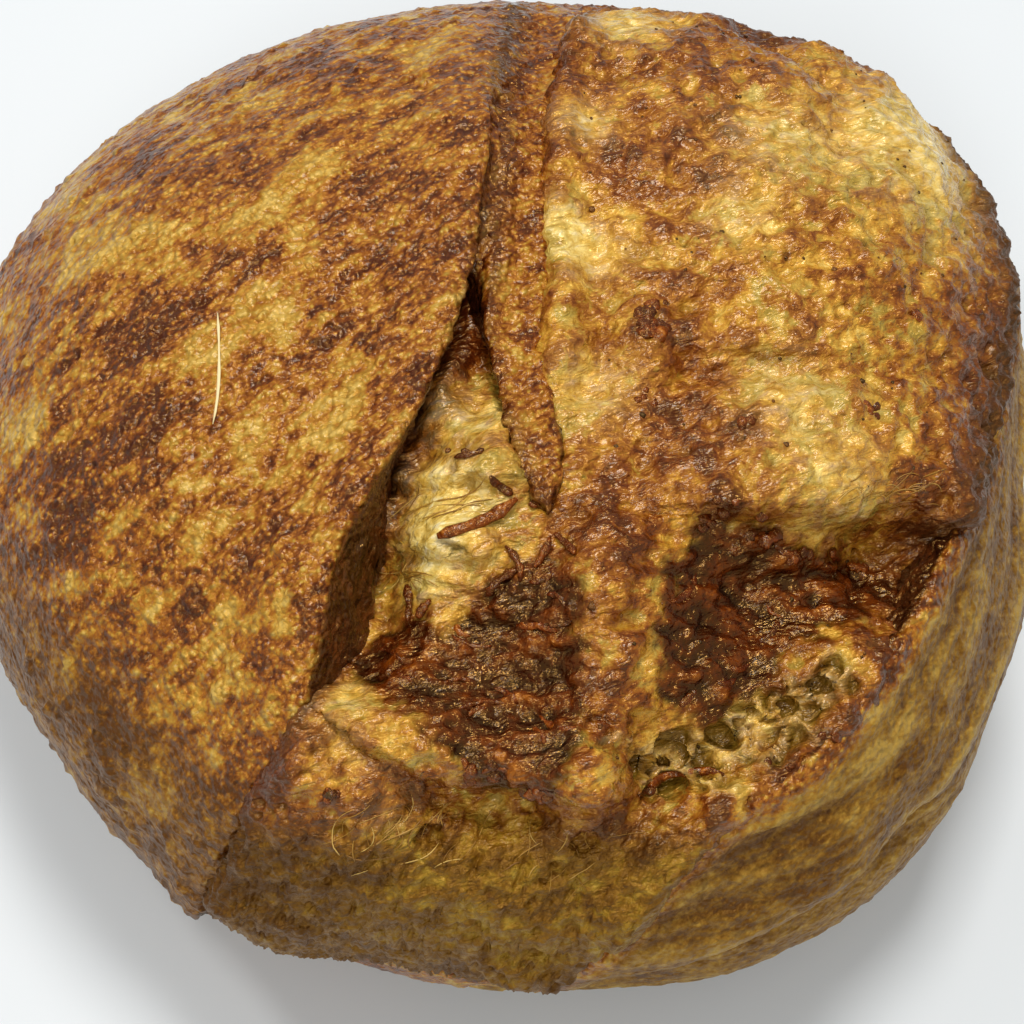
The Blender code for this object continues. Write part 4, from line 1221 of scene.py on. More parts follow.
def roughen_crumb(crumb, places, sides):
    mesh = crumb.data
    points, facing = points_of(mesh), facing_of(mesh)
    kind = crumb_kinds(points, places)
    webs, fine_webs, pores, crumb_height = torn_webs(points, kind.pale)
    comb_wall, between, comb_height = honeycomb(points)
    fibre = crests(waves(along_and_across(points, 62) / (5.0, 1.0, 3.0), FIBRE_SIZE, 30, 2), 2.4)
    front_height = 0.8 * fibre + 0.5 * webs - 1.3 * pores
    crest, cheese_height = melted_cheese(points, kind.ragged, fine_webs)
    crease, deep = crumb_creases(points)
    burn = crumb_burn(points, places, sides[1])
    height = blend(crumb_height, front_height, kind.front)
    height = blend(blend(height, comb_height, kind.comb), cheese_height, kind.cheese) + 0.5 * kind.char
    height += 0.9 * burn * waves(points, 2.6 * MM, 37, 2) + 1.3 * kind.lipped - deep
    raised = points + facing * height[:, None] * MM
    raised[:, 2] = np.maximum(raised[:, 2], CRUMB_FOOT)
    move_points(mesh, raised)
    reddened = smooth_step(0.05, 0.45, waves(raised, 6 * MM, 39, 3) + 0.25 * webs) * (1 - kind.pale)
    toast_and_ear_shadow = toasting(points, places, sides, kind) + 0.12 * webs + 0.08 * fine_webs + 0.22 * reddened
    # painted shade: the pores, the low places between the webs and the creases are darkened as if shade fell
    # in them
    painted_low_shade = smooth_step(0.2, -1.4, crumb_height * (1 - kind.front) + 1.4 * front_height * kind.front)
    # the pale crumb, whose palest colour is a painted highlight, and the honeycomb's pale walls
    pale = kind.pale * (1 - kind.comb) + 0.5 * kind.comb * comb_wall
    hollow = np.clip(0.9 * pores + 0.6 * painted_low_shade + crease, 0, 1)
    store(mesh, "toast_and_ear_shadow", np.clip(toast_and_ear_shadow, 0, 1))
    store(mesh, "pale", np.clip(pale, 0, 1) * (1 - kind.cheese))
    store(mesh, "cheese", kind.cheese)
    store(mesh, "char", np.clip(kind.char, 0, 1))
    store(mesh, "burn", np.clip(burn, 0, 1))
    store(mesh, "painted_cavity_shade", hollow * (1 - kind.cheese) * (1 - kind.comb))
    store(mesh, "front", kind.front)
    store(mesh, "comb", kind.comb * smooth_step(0.02, 0.16, between))
    store(mesh, "crest", np.clip(crest, 0, 1))
    mesh.shade_smooth()


roughen_crumb(torn_crumb, crumb_places, crumb_sides)
in_left_bed = inside_by(CHEESE_BEDS[0], crumb_places) > 0
print("share of the crumb under the left bed of cheese:", round(float(np.mean(in_left_bed)), 3))

# %% [markdown]
# ## Shreds, threads and crumbs
#
# Grated parmesan falls as short flat shreds. In the oven each one shrank, curled and stuck where it lay, so
# each is a flattened tube that follows the crumb under it, narrow at its ends. The same kind of piece makes
# the hair-like threads of gluten on the torn face, only thinner.

# %% Find the surface under a place
def surface_tree(piece):
    mesh = piece.data
    return BVHTree.FromPolygons([v.co for v in mesh.vertices], [p.vertices for p in mesh.polygons])


crumb_tree = surface_tree(torn_crumb)
crust_tree = surface_tree(crust)
DROP_FROM = 30 * MM


def drop(tree, places):
    """Points on a piece under places on the map, and the way out at each."""
    base = on_ball(places)
    facing = outward(base)
    found = []
    for point, out in zip(base, facing):
        spot, _, _, _ = tree.ray_cast(Vector(point + out * DROP_FROM), Vector(-out))
        found.append(point if spot is None else np.array(spot))
    return np.array(found), facing


# %% A strip that lies on the surface
STRIP_SIDES = 8
STRIP_STATIONS = 9
STRIP_UNEVENNESS = (0.6, 1.3)
STRIP_END = 0.12
DEGREE = 2.0 * MM


def strip(tree, place, angle, length, width, thickness, bend, lift=0.5, seed=0):
    """Vertices and faces of a flattened tube, from its middle place on the map and its sizes in metres."""
    generator = random.Random(seed)
    run = np.linspace(-0.5, 0.5, STRIP_STATIONS)
    turn = math.radians(angle) + bend * run
    step = np.column_stack([np.cos(turn), np.sin(turn)]) * (length / DEGREE / (STRIP_STATIONS - 1))
    line = np.cumsum(step, axis=0)
    line += np.asarray(place) - line[STRIP_STATIONS // 2]
    path, facing = drop(tree, line)
    path[1:-1] = (path[:-2] + 2 * path[1:-1] + path[2:]) / 4
    along = np.gradient(path, axis=0)
    along /= np.linalg.norm(along, axis=1, keepdims=True)
    across = np.cross(facing, along)
    across /= np.linalg.norm(across, axis=1, keepdims=True)
    taper = np.sqrt(np.clip(1 - (2 * np.abs(run)) ** 4, STRIP_END, 1))
    wobble = np.array([generator.uniform(*STRIP_UNEVENNESS) for _ in run])
    around = np.linspace(0, 2 * math.pi, STRIP_SIDES, endpoint=False)
    half_width = (width / 2 * taper * wobble)[:, None, None]
    half_depth = (thickness / 2 * taper)[:, None, None]
    ring = np.cos(around)[None, :, None] * across[:, None] * half_width
    ring = ring + np.sin(around)[None, :, None] * facing[:, None] * half_depth
    centre = path + facing * thickness * lift
    points = (centre[:, None] + ring).reshape(-1, 3)
    faces = []
    for row in range(STRIP_STATIONS - 1):
        for side in range(STRIP_SIDES):
            after = (side + 1) % STRIP_SIDES
            a, b = row * STRIP_SIDES, (row + 1) * STRIP_SIDES
            faces.append((a + side, a + after, b + after, b + side))
    last = (STRIP_STATIONS - 1) * STRIP_SIDES
    faces.append(tuple(range(STRIP_SIDES))[::-1])
    faces.append(tuple(last + side for side in range(STRIP_SIDES)))
    return points, faces


# %% Join parts of one kind into one piece
def gather(name, parts):
    """Joins lists of vertices and faces; each part keeps a tint of its own, which shades its colour."""
    points, faces, tints = [], [], []
    for number, (part_points, part_faces) in enumerate(parts):
        offset = sum(len(group) for group in points)
        points.append(part_points)
        faces.extend(tuple(offset + corner for corner in face) for face in part_faces)
        tints.append(np.full(len(part_points), random.Random(number).random()))
    made = new_mesh_object(name, np.vstack(points), faces)
    store(made.data, "tint", np.concatenate(tints))
    made.data.shade_smooth()
    return made


# %% Shreds of cheese
LOOSE_SHREDS = (
    # (u, v, angle, length, width, thickness in mm, bend)
    (-1.9, -19.3, 32, 15.0, 2.6, 1.2, 0.6),
    (-0.3, -15.9, -35, 4.0, 1.8, 1.0, 0.2),
    (2.2, -16.2, 80, 5.0, 2.2, 1.2, -0.3),
    (-2.5, -13.0, 12, 4.5, 1.4, 0.8, 0.6),
    (-8.5, -27.2, 88, 9.0, 1.8, 1.2, 0.3),
    (-7.2, -28.0, 60, 5.0, 1.5, 1.0, -0.5),
    (17.6, -47.6, 24, 15.0, 2.0, 1.3, -0.7),
    (14.6, -50.0, 5, 6.0, 1.8, 1.0, 0.4),
    (-0.5, -25.0, 50, 8.0, 1.8, 1.1, -0.8),
    (1.0, -23.2, 105, 8.0, 1.6, 1.1, 0.9),
    (3.0, -22.0, 70, 7.0, 1.6, 1.1, 0.4),
    (4.6, -21.0, 120, 6.0, 1.5, 1.0, 0.4),
    (22.0, -20.6, 20, 5.0, 3.2, 2.0, 0.3),
    (32.0, -22.6, -12, 6.0, 2.6, 1.6, 0.2),
    (27.0, -22.2, -20, 4.0, 2.4, 1.6, 0.4),
    (37.0, -24.0, -15, 7.0, 2.0, 1.2, 0.4),
)
SHREDS_IN_BEDS = (16, 8)
# length, width and thickness of the shreds that melted into the beds, each from and to, in mm
SHRED_SIZES = ((4.0, 10.0), (0.9, 1.9), (0.5, 0.9))
SHRED_TURN = (-6, 40)
SHRED_BEND = (-2.2, 2.2)
SHRED_SUNK = -0.15
BED_MARGIN = 1.2


def cheese_shreds():
    generator = random.Random(7)
    parts = []
    for u, v, angle, length, width, thickness, bend in LOOSE_SHREDS:
        shred = (length * MM, width * MM, thickness * MM)
        parts.append(strip(crumb_tree, (u, v), angle, *shred, bend, seed=len(parts)))
    for outline, count in zip(CHEESE_BEDS, SHREDS_IN_BEDS):
        low_corner, high_corner = np.min(outline, axis=0), np.max(outline, axis=0)
        placed = 0
        while placed < count:
            place = [generator.uniform(a, b) for a, b in zip(low_corner, high_corner)]
            if inside_by(outline, np.array([place]))[0] < BED_MARGIN:
                continue
            angle = generator.gauss(*SHRED_TURN)
            sizes = [generator.uniform(*span) * MM for span in SHRED_SIZES]
            bend = generator.uniform(*SHRED_BEND)
            parts.append(strip(crumb_tree, place, angle, *sizes, bend, SHRED_SUNK, len(parts)))
            placed += 1
    return gather("cheese_shreds", parts)


shreds = cheese_shreds()
print("shreds:", len(LOOSE_SHREDS) + sum(SHREDS_IN_BEDS), "faces:", len(shreds.data.polygons))

# %% Threads of gluten on the torn faces
THREAD_FIELDS = (
    # ((middle u, v), (spread u, v), how many, angle, spread of the angle)
    ((-12.0, -56.0), (7.0, 5.0), 34, 60, 30),
    ((3.0, -58.0), (8.0, 6.0), 18, 75, 30),
    ((-5.0, -17.5), (3.5, 1.2), 14, 25, 20),
    ((-8.5, -24.0), (2.5, 1.2), 10, 15, 20),
    ((36.0, -17.5), (8.0, 1.6), 20, 12, 12),
)
THREAD_LENGTH = (4, 10)
THREAD_WIDTH = (0.14, 0.26)
THREAD_BEND = (-1.5, 1.5)
# the one straw-like thread on the crust: its place, angle, length, width, thickness and bend
LOOSE_THREAD = ((-22.8, -6.0), 79, 21 * MM, 0.7 * MM, 0.4 * MM, 0.35)


def gluten_threads():
    generator = random.Random(21)
    parts = []
    for (u, v), (spread_u, spread_v), count, angle, fan in THREAD_FIELDS:
        for _ in range(count):
            place = (generator.gauss(u, spread_u / 2), generator.gauss(v, spread_v / 2))
            length = generator.uniform(*THREAD_LENGTH) * MM
            width = generator.uniform(*THREAD_WIDTH) * MM
            turned = generator.gauss(angle, fan)
            bend = generator.uniform(*THREAD_BEND)
            parts.append(strip(crumb_tree, place, turned, length, width, width, bend, 0.7, len(parts)))
    return gather("gluten_threads", parts)


threads = gluten_threads()
loose_thread = gather("pale_thread_on_the_crust", [strip(crust_tree, *LOOSE_THREAD, lift=0.6, seed=3)])
print("threads:", sum(field[2] for field in THREAD_FIELDS) + 1)

# %% [markdown]
# Small hard lumps sit on the crumb and along its burnt rim: flecks of herb, beads of scorched cheese, and
# crags of crust. Each is a small sphere made uneven by noise and pressed on to the surface, because that is
# enough for something of 1 to 3 mm.

# %% Flecks, lumps of cheese and burnt crags
SPECKS = (
    # (middle u, v, width in mm)
    (5.9, 8.0, 1.4),
    (9.3, -8.7, 1.2),
    (28.3, 3.6, 1.2),
    (16.1, 6.1, 1.0),
    (32.5, -7.3, 1.1),
    (22.3, -13.3, 1.1),
    (6.8, -27.7, 1.5),
    (-16.5, -50.0, 1.5),
    (3.9, -50.6, 1.6),
)
RANDOM_SPECKS = 110
SPECK_FIELD = ((6, 55), (-60, 45))
SPECK_RADIUS = (0.18, 0.42)
CHEESE_LUMPS = (
    # (middle u, v, spread in degrees, how many, radius in mm)
    (10.3, -2.0, 1.7, 16, 1.5),
    (10.0, -7.5, 1.0, 5, 0.9),
    (33.2, -10.2, 0.8, 5, 1.2),
    (18.8, -10.9, 1.0, 5, 1.0),
    (20.5, -19.5, 0.9, 4, 1.3),
    (26.0, -22.0, 1.6, 7, 1.1),
    (16.0, -17.6, 1.4, 8, 1.2),
    (40.0, 1.0, 0.8, 3, 1.0),
    (-16.5, -50.0, 0.9, 5, 1.0),
    (-3.0, -12.2, 1.2, 4, 0.7),
    (-2.0, -47.5, 2.5, 9, 1.1),
    (3.0, -49.5, 1.5, 8, 1.2),
    (31.0, -43.0, 3.0, 8, 1.0),
    (27.0, -47.0, 2.0, 6, 1.0),
)
CRAG_LINE = ((47.0, 44.5), (57.5, 37.5), (62.5, 28.0), (64.0, 15.5), (63.5, 5.5), (61.0, -3.0))
CRAG_STOPS = 200
CRAG_RADIUS = (0.7, 1.9)
CRAGS = 60


def nugget(tree, place, radius, seed, squash=0.6, lift=0.2):
    """A small irregular lump that sits on the surface."""
    shape = bmesh.new()
    bmesh.ops.create_icosphere(shape, subdivisions=2, radius=1.0)
    ball_points = np.array([vertex.co for vertex in shape.verts])
    faces = [tuple(vertex.index for vertex in face.verts) for face in shape.faces]
    shape.free()
    uneven = 1 + 0.45 * waves(ball_points, 0.9, seed, 2)
    ball_points = ball_points * uneven[:, None]
    spot, facing = drop(tree, [place])
    out = facing[0]
    flat = np.outer(ball_points @ out, out)
    points = spot[0] + out * radius * lift + (ball_points - (1 - squash) * flat) * radius
    return points, faces


def dark_specks():
    generator = random.Random(5)
    parts = [nugget(crumb_tree, (u, v), width / 2 * MM, k) for k, (u, v, width) in enumerate(SPECKS)]
    while len(parts) < len(SPECKS) + RANDOM_SPECKS:
        place = tuple(generator.uniform(*span) for span in SPECK_FIELD)
        spot = on_ball([place])
        if signed(spot, RIM)[0] > 3 * MM and signed(spot, TONGUE_RIGHT)[0] < -2 * MM:
            radius = generator.uniform(*SPECK_RADIUS) * MM
            parts.append(nugget(crumb_tree, place, radius, len(parts)))
    return gather("dark_specks", parts)


def cheese_lumps():
    generator = random.Random(15)
    parts = []
    for u, v, spread, count, radius in CHEESE_LUMPS:
        for _ in range(count):
            place = (generator.gauss(u, spread / 2), generator.gauss(v, spread / 2))
            size = radius * generator.uniform(0.6, 1.25) * MM
            parts.append(nugget(crumb_tree, place, size, len(parts) + 200, squash=0.45, lift=-0.15))
    return gather("cheese_lumps", parts)


def burnt_crags():
    generator = random.Random(9)
    line = smooth_line(CRAG_LINE, CRAG_STOPS)
    parts = []
    for number in range(CRAGS):
        u, v = line[generator.randrange(CRAG_STOPS)]
        place = (u + generator.gauss(-0.6, 0.8), v + generator.gauss(0, 0.8))
        radius = generator.uniform(*CRAG_RADIUS) * MM
        parts.append(nugget(crust_tree, place, radius, number + 40, squash=0.8, lift=0.35))
    return gather("burnt_crags", parts)


specks = dark_specks()
lumps = cheese_lumps()
crags = burnt_crags()
print("flecks:", len(SPECKS) + RANDOM_SPECKS, "crags:", CRAGS, "lumps:", sum(row[3] for row in CHEESE_LUMPS))

# %% [markdown]
# ## Finishes
#
# A material here is a stack of colours, mixed by the values that were kept on the mesh. Colours are written
# as the hex values that a colour picker shows, so they are turned to linear light first. Patterns are noise
# of a real size in millimetres, fixed to the loaf, so that they look the same from every side.


# %% Colours and nodes
MATH = "ShaderNodeMath"
RAMP = "ShaderNodeValToRGB"


def linear(hex_value):
    """An sRGB hex colour as linear RGBA."""
    channels = [int(hex_value[k : k + 2], 16) / 255 for k in (1, 3, 5)]
    return (*[c / 12.92 if c <= 0.04045 else ((c + 0.055) / 1.055) ** 2.4 for c in channels], 1.0)


def add_node(tree, kind, links=(), output=0, stops=(), **settings):
    """Adds a node and gives its output. Its inputs are linked to outputs, or set to values and colours."""
    node = tree.nodes.new(kind)
    for name, value in settings.items():
        setattr(node, name, value)
    for name, source in (links if isinstance(links, dict) else dict(enumerate(links))).items():
        if isinstance(source, bpy.types.NodeSocket):
            tree.links.new(source, node.inputs[name])
        else:
            node.inputs[name].default_value = linear(source) if isinstance(source, str) else source
    for _ in stops[2:]:
        node.color_ramp.elements.new(0.5)
    for number, (place, colour) in enumerate(stops):
        point = node.color_ramp.elements[number]
        point.position = place
        point.color = linear(colour) if isinstance(colour, str) else (colour, colour, colour, 1.0)
    return node.outputs[output]


# %% What the finishes share
def new_material(name):
    material = bpy.data.materials.new(name)
    material.use_nodes = True
    tree = material.node_tree
    return material, tree, tree.nodes["Principled BSDF"]


def kept(tree, *names):
    """The values that the mesh keeps under these names."""
    return [add_node(tree, "ShaderNodeAttribute", output="Fac", attribute_name=name) for name in names]


def product(tree, total, *others):
    for other in others:
        total = add_node(tree, MATH, (total, other), operation="MULTIPLY")
    return total


def weighted(tree, total, *terms):
    """A base, and amount * (value - 0.5) for each (value, amount) on top of it."""
    for value, amount in terms:
        share = product(tree, add_node(tree, MATH, (value, 0.5), operation="SUBTRACT"), amount)
        total = add_node(tree, MATH, (total, share), operation="ADD")
    return total


def coats(tree, value, colours, *layers):
    """A coat of colours shaded by a value, and over it each layer: (how much shows, value, colours)."""
    colour = add_node(tree, RAMP, (value,), stops=colours)
    for share, value, colours in layers:
        over = colours if value is None else add_node(tree, RAMP, (value,), stops=colours)
        colour = add_node(tree, "ShaderNodeMix", {0: share, 6: colour, 7: over}, 2, data_type="RGBA")
    return colour


def grain(tree, size, detail=4.0, roughness=0.6, distortion=0.0, drawn=(1, 1, 1), degrees=0):
    """Noise with features of about this size in metres, drawn out along a direction."""
    place = add_node(tree, "ShaderNodeTexCoord", output="Object")
    links = {"Vector": place, "Scale": drawn, "Rotation": (0, 0, math.radians(degrees))}
    links = {"Vector": add_node(tree, "ShaderNodeMapping", links, vector_type="TEXTURE"), "Scale": 1 / size}
    links |= {"Detail": detail, "Roughness": roughness, "Distortion": distortion}
    return add_node(tree, "ShaderNodeTexNoise", links, "Fac")


def bubbles(tree, size):
    """Distance from the middle of bubbles of about this size."""
    place = add_node(tree, "ShaderNodeTexCoord", output="Object")
    return add_node(tree, "ShaderNodeTexVoronoi", {"Vector": place, "Scale": 1 / size}, "Distance")

# %% [markdown]
# Bread shines because its starch turned to a glassy film, and fat from the cheese lies on top of it. So each
# finish has a strong, warm gloss with fine relief, and over it a thin coat that is smoother and less bumpy.


# %% A glazed finish
SHINE = 1.0
SHINE_TINT = "#ffc870"
GLAZE = 0.38
GLAZE_ROUGHNESS = 0.18
GLAZE_RELIEF = 0.8 * MM
GLAZE_LEFT = 1.15


def finish(tree, shader, colour, gloss, height, depth, glaze_height, dull=None):
    """Plugs in a colour, a roughness and a bump of so many metres; the glaze is thinner where it is dull."""
    shader.inputs["Specular IOR Level"].default_value = SHINE
    shader.inputs["Specular Tint"].default_value = linear(SHINE_TINT)
    shader.inputs["Coat Weight"].default_value = GLAZE
    shader.inputs["Coat Roughness"].default_value = GLAZE_ROUGHNESS
    fine = add_node(tree, "ShaderNodeBump", {"Height": height, "Distance": depth})
    soft = add_node(tree, "ShaderNodeBump", {"Height": glaze_height, "Distance": GLAZE_RELIEF})
    plugs = {"Base Color": colour, "Roughness": gloss, "Normal": fine, "Coat Normal": soft}
    if dull is not None:
        left = add_node(tree, MATH, (GLAZE_LEFT, dull), operation="SUBTRACT")
        plugs["Coat Weight"] = product(tree, left, GLAZE)
    for name, source in plugs.items():
        tree.links.new(source, shader.inputs[name])

# %% [markdown]
# **Baked crust** is gelatinised starch, thin as a fingernail, that browned unevenly in a steamy oven. Steam
# leaves it glassy over the finest blisters and dull where flour stayed, so its colour and its gloss are both
# grained, at about 4 mm and at about 1 mm. Its real pores are finer than that, and would not show.


# %% Baked crust
BASKET_TURN = 35
CRUST_BUBBLE = 1.6 * MM
CRUST_SPECK = 1.2 * MM
CRUST_PATCH = 4.5 * MM
CRUST_DIMPLE = 2.2 * MM
FINEST_RELIEF = 1.3 * MM
CRUST_RELIEF = 1.4 * MM
CRUST_COLOURS = (
    (0.08, "#461405"),
    (0.28, "#70320a"),
    (0.43, "#925212"),
    (0.57, "#a66e1e"),
    (0.75, "#b28a32"),
    (0.95, "#ceac58"),
)
SIDE_COLOURS = ((0.1, "#4e2a0a"), (0.3, "#684410"), (0.48, "#7e5a1e"), (0.66, "#96722c"), (0.85, "#ac8c42"))
LIP_COLOURS = ((0.35, "#2d1005"), (0.5, "#4c220b"), (0.65, "#7a4517"))
# dark red-brown of the cut walls, deepened as painted shade where the ear overhangs them
WALL_AND_SHADE_COLOURS = ((0.35, "#1c0803"), (0.5, "#351507"), (0.65, "#5c2c0d"))
BURNT_COLOURS = ((0.35, "#241008"), (0.5, "#40210f"), (0.65, "#6f4424"))
DOTS = ((0.16, 1.0), (0.30, 0.0))
CRUST_DULLNESS = 0.35


def baked_crust():
    material, tree, shader = new_material("baked_crust_blistered")
    bake, side, lip, burn, wall = kept(tree, "bake", "side", "lip", "burn", "wall")
    bubble = bubbles(tree, CRUST_BUBBLE)
    speck = grain(tree, CRUST_SPECK, 5, 0.7, drawn=(2.2, 1.0, 1.5), degrees=BASKET_TURN)
    patch = grain(tree, CRUST_PATCH, 6, 0.72, distortion=0.4, drawn=(2.0, 1.0, 1.5), degrees=BASKET_TURN)
    deep = add_node(tree, MATH, (1.1, bake), operation="SUBTRACT")
    off_side = add_node(tree, MATH, (1.0, side), operation="SUBTRACT")
    granules = product(tree, add_node(tree, MATH, (speck, 0.5), operation="SUBTRACT"), deep, 2.0)
    dots = product(tree, add_node(tree, RAMP, (bubble,), stops=DOTS), deep, 0.3, off_side)
    browned = weighted(tree, bake, (patch, 1.3), (bubble, -0.3))
    for spots in (granules, dots):
        browned = add_node(tree, MATH, (browned, spots), operation="ADD")
    burnt = product(tree, burn, 0.9)
    colour = coats(
        tree,
        browned,
        CRUST_COLOURS,
        (side, browned, SIDE_COLOURS),
        (product(tree, lip, 0.75), speck, LIP_COLOURS),
        (burnt, speck, BURNT_COLOURS),
        (wall, patch, WALL_AND_SHADE_COLOURS),
    )
    gloss = weighted(tree, 0.39, (patch, 0.5), (lip, -0.14), (wall, -0.12), (side, 0.14), (burn, 0.25))
    dimples = product(tree, bubble, weighted(tree, -0.25, (side, 0.5)))
    dimples = weighted(tree, dimples, (grain(tree, CRUST_DIMPLE, 1), 1.2))
    height = weighted(tree, dimples, (grain(tree, FINEST_RELIEF, 2), 0.35), (patch, 0.3))
    dull = add_node(tree, MATH, (side, burnt), operation="MAXIMUM")
    dull = add_node(tree, MATH, (dull, CRUST_DULLNESS), operation="ADD")
    finish(tree, shader, colour, gloss, height, CRUST_RELIEF, dimples, dull)
    return material

# %% [markdown]
# **Torn crumb** is the same starch, set in a foam and then toasted where it stood nearest to the oven's roof.
# Its webs are glassy film: pale where thick and lit by painted highlights, olive where the hollow shows
# through, red-brown on their crests.
# The cheese that melted into it is a coat of this same finish, so that it has no hard edge.


# %% Torn crumb, with the cheese that melted into it
CRUMB_TURN = 15
CRUMB_SPECK = 1.3 * MM
CRUMB_WEB = 4 * MM
CRUMB_FILM = 2.4 * MM
CRUMB_WRINKLE = 2.0 * MM
THIN_PATCH = 9 * MM
CRUMB_RELIEF = 1.3 * MM
CRUMB_COLOURS = (
    (0.0, "#f2d47a"),
    (0.22, "#d8aa44"),
    (0.42, "#bc8628"),
    (0.60, "#9c601a"),
    (0.82, "#763609"),
    (1.0, "#4a1703"),
)
THIN_COLOURS = ((0.3, "#746420"), (0.5, "#98883a"), (0.7, "#c2b262"))
FRONT_COLOURS = ((0.0, "#ae9038"), (0.3, "#8a6a1c"), (0.55, "#724e10"), (0.95, "#482605"))
COMB_COLOURS = ((0.3, "#453404"), (0.5, "#5e4910"), (0.7, "#7e6822"))
# pale crumb, lifted to near white as painted highlights on the palest film
PALE_AND_HIGHLIGHT_COLOURS = ((0.3, "#a8842c"), (0.42, "#d6b254"), (0.53, "#f2da88"), (0.66, "#fff4c8"))
CHEESE_COLOURS = (
    (0.15, "#1a0400"),
    (0.42, "#300b00"),
    (0.60, "#481701"),
    (0.80, "#682b03"),
    (1.0, "#945214"),
)
# painted shade for the crumb's pores, creases and low places
PAINTED_CAVITY_SHADE_COLOUR = "#5f3a08"
CHAR_COLOUR = "#241008"
THIN_HERE = ((0.46, 0.0), (0.60, 0.75))
NOT_TOASTED = ((0.35, 1.0), (0.6, 0.0))
CHEESE_DULLNESS = 0.65


def torn_crumb_finish():
    material, tree, shader = new_material("torn_crumb_toasted")
    toast_and_ear_shadow, pale, crest, cheese, comb = kept(tree, "toast_and_ear_shadow", "pale", "crest", "cheese", "comb")
    front, painted_cavity_shade, burn, char = kept(tree, "front", "painted_cavity_shade", "burn", "char")
    speck = grain(tree, CRUMB_SPECK, 5, 0.7)
    web = grain(tree, CRUMB_WEB, 6, 0.7, distortion=1.0)
    film = grain(tree, CRUMB_FILM, 4, 0.6, distortion=0.7, drawn=(1.7, 0.8, 1.0), degrees=CRUMB_TURN)
    toasted = weighted(tree, toast_and_ear_shadow, (web, 1.3), (speck, 0.8))
    caramel = weighted(tree, crest, (web, 1.1), (speck, 0.6))
    thin = add_node(tree, RAMP, (grain(tree, THIN_PATCH, 3, 0.6, distortion=0.5),), stops=THIN_HERE)
    thin = product(tree, thin, add_node(tree, RAMP, (toasted,), stops=NOT_TOASTED))
    burnt = product(tree, burn, 0.9)
    colour = coats(
        tree,
        toasted,
        CRUMB_COLOURS,
        (thin, film, THIN_COLOURS),
        (front, toasted, FRONT_COLOURS),
        (product(tree, comb, 0.85), film, COMB_COLOURS),
        (product(tree, pale, 0.85), film, PALE_AND_HIGHLIGHT_COLOURS),
        # painted shade in the pores and creases of the crumb
        (product(tree, painted_cavity_shade, 0.75), None, PAINTED_CAVITY_SHADE_COLOUR),
        (cheese, caramel, CHEESE_COLOURS),
        (burnt, speck, BURNT_COLOURS),
        (char, None, CHAR_COLOUR),
    )
    gloss = weighted(tree, 0.43, (web, 0.5), (cheese, -0.10), (pale, -0.08), (front, 0.14), (burn, 0.25))
    wrinkle = grain(tree, CRUMB_WRINKLE, 2, 0.5, distortion=0.3, drawn=(1.5, 0.8, 1.0), degrees=CRUMB_TURN)
    wrinkle = weighted(tree, product(tree, wrinkle, 1.5), (bubbles(tree, CRUMB_FILM), -0.3))
    height = weighted(tree, wrinkle, (film, 0.5), (grain(tree, FINEST_RELIEF, 2), 0.35))
    relief = weighted(tree, 0.5, (cheese, -0.15), (pale, -0.3))
    dull = product(tree, cheese, CHEESE_DULLNESS)
    for other in (front, burnt):
        dull = add_node(tree, MATH, (dull, other), operation="MAXIMUM")
    height, wrinkle = product(tree, height, relief), product(tree, wrinkle, relief)
    finish(tree, shader, colour, gloss, height, CRUMB_RELIEF, wrinkle, dull)
    return material

# %% [markdown]
# **Cheese** melts, fries in its own fat and sets to a dark caramel glass, nearly black where it is thickest.
# **Threads** of gluten dry to straw. **Flecks** are herbs and scorched crumbs, matt and almost black.


# %% Cheese, threads and flecks
CHEESE_FLECK = 1.6 * MM
FLECK_GRAIN = 1.0 * MM
LUMP_COLOURS = ((0.0, "#300a01"), (0.45, "#541a03"), (0.75, "#7c3406"), (1.0, "#a86016"))
STRAW_COLOURS = ((0.0, "#7a5010"), (0.5, "#a87c2c"), (1.0, "#d2b060"))
FLECK_COLOURS = ((0.1, "#160a05"), (0.5, "#32190b"), (0.9, "#5d3418"))


def caramel_cheese():
    material, tree, shader = new_material("cheese_caramelised")
    fleck = grain(tree, CHEESE_FLECK, 4, 0.65)
    shade = weighted(tree, 0.45, (fleck, 1.8), (*kept(tree, "tint"), 0.5))
    gloss = weighted(tree, 0.18, (fleck, 0.4))
    colour = coats(tree, shade, LUMP_COLOURS)
    finish(tree, shader, colour, gloss, fleck, 0.8 * MM, grain(tree, CHEESE_FLECK, 1))
    return material


def scorched_flecks():
    material, tree, shader = new_material("scorched_flecks")
    fleck = grain(tree, FLECK_GRAIN, 4, 0.7)
    colour = coats(tree, weighted(tree, *kept(tree, "tint"), (fleck, 1.4)), FLECK_COLOURS)
    finish(tree, shader, colour, weighted(tree, 0.42, (fleck, 0.6)), fleck, 0.4 * MM, fleck)
    return material


def straw_threads():
    material, tree, shader = new_material("dried_gluten_threads")
    tint = weighted(tree, *kept(tree, "tint"), (grain(tree, 4 * MM), 0.6))
    tree.links.new(coats(tree, tint, STRAW_COLOURS), shader.inputs["Base Color"])
    shader.inputs["Roughness"].default_value = 0.45
    return material


def plain_finish(name, colour, roughness):
    material, _, shader = new_material(name)
    shader.inputs["Base Color"].default_value = linear(colour)
    shader.inputs["Roughness"].default_value = roughness
    return material


# %% Give each piece its finish
def dress(piece, material):
    piece.data.materials.clear()
    piece.data.materials.append(material)


finishes = (
    (baked_crust(), crust),
    (torn_crumb_finish(), torn_crumb),
    (caramel_cheese(), shreds, lumps),
    (scorched_flecks(), specks, crags),
    (straw_threads(), threads),
    (plain_finish("straw_coloured_thread", "#ead9a8", 0.5), loose_thread),
)
for material, *dressed in finishes:
    for piece in dressed:
        dress(piece, material)
print("finishes:", [material.name for material in bpy.data.materials])

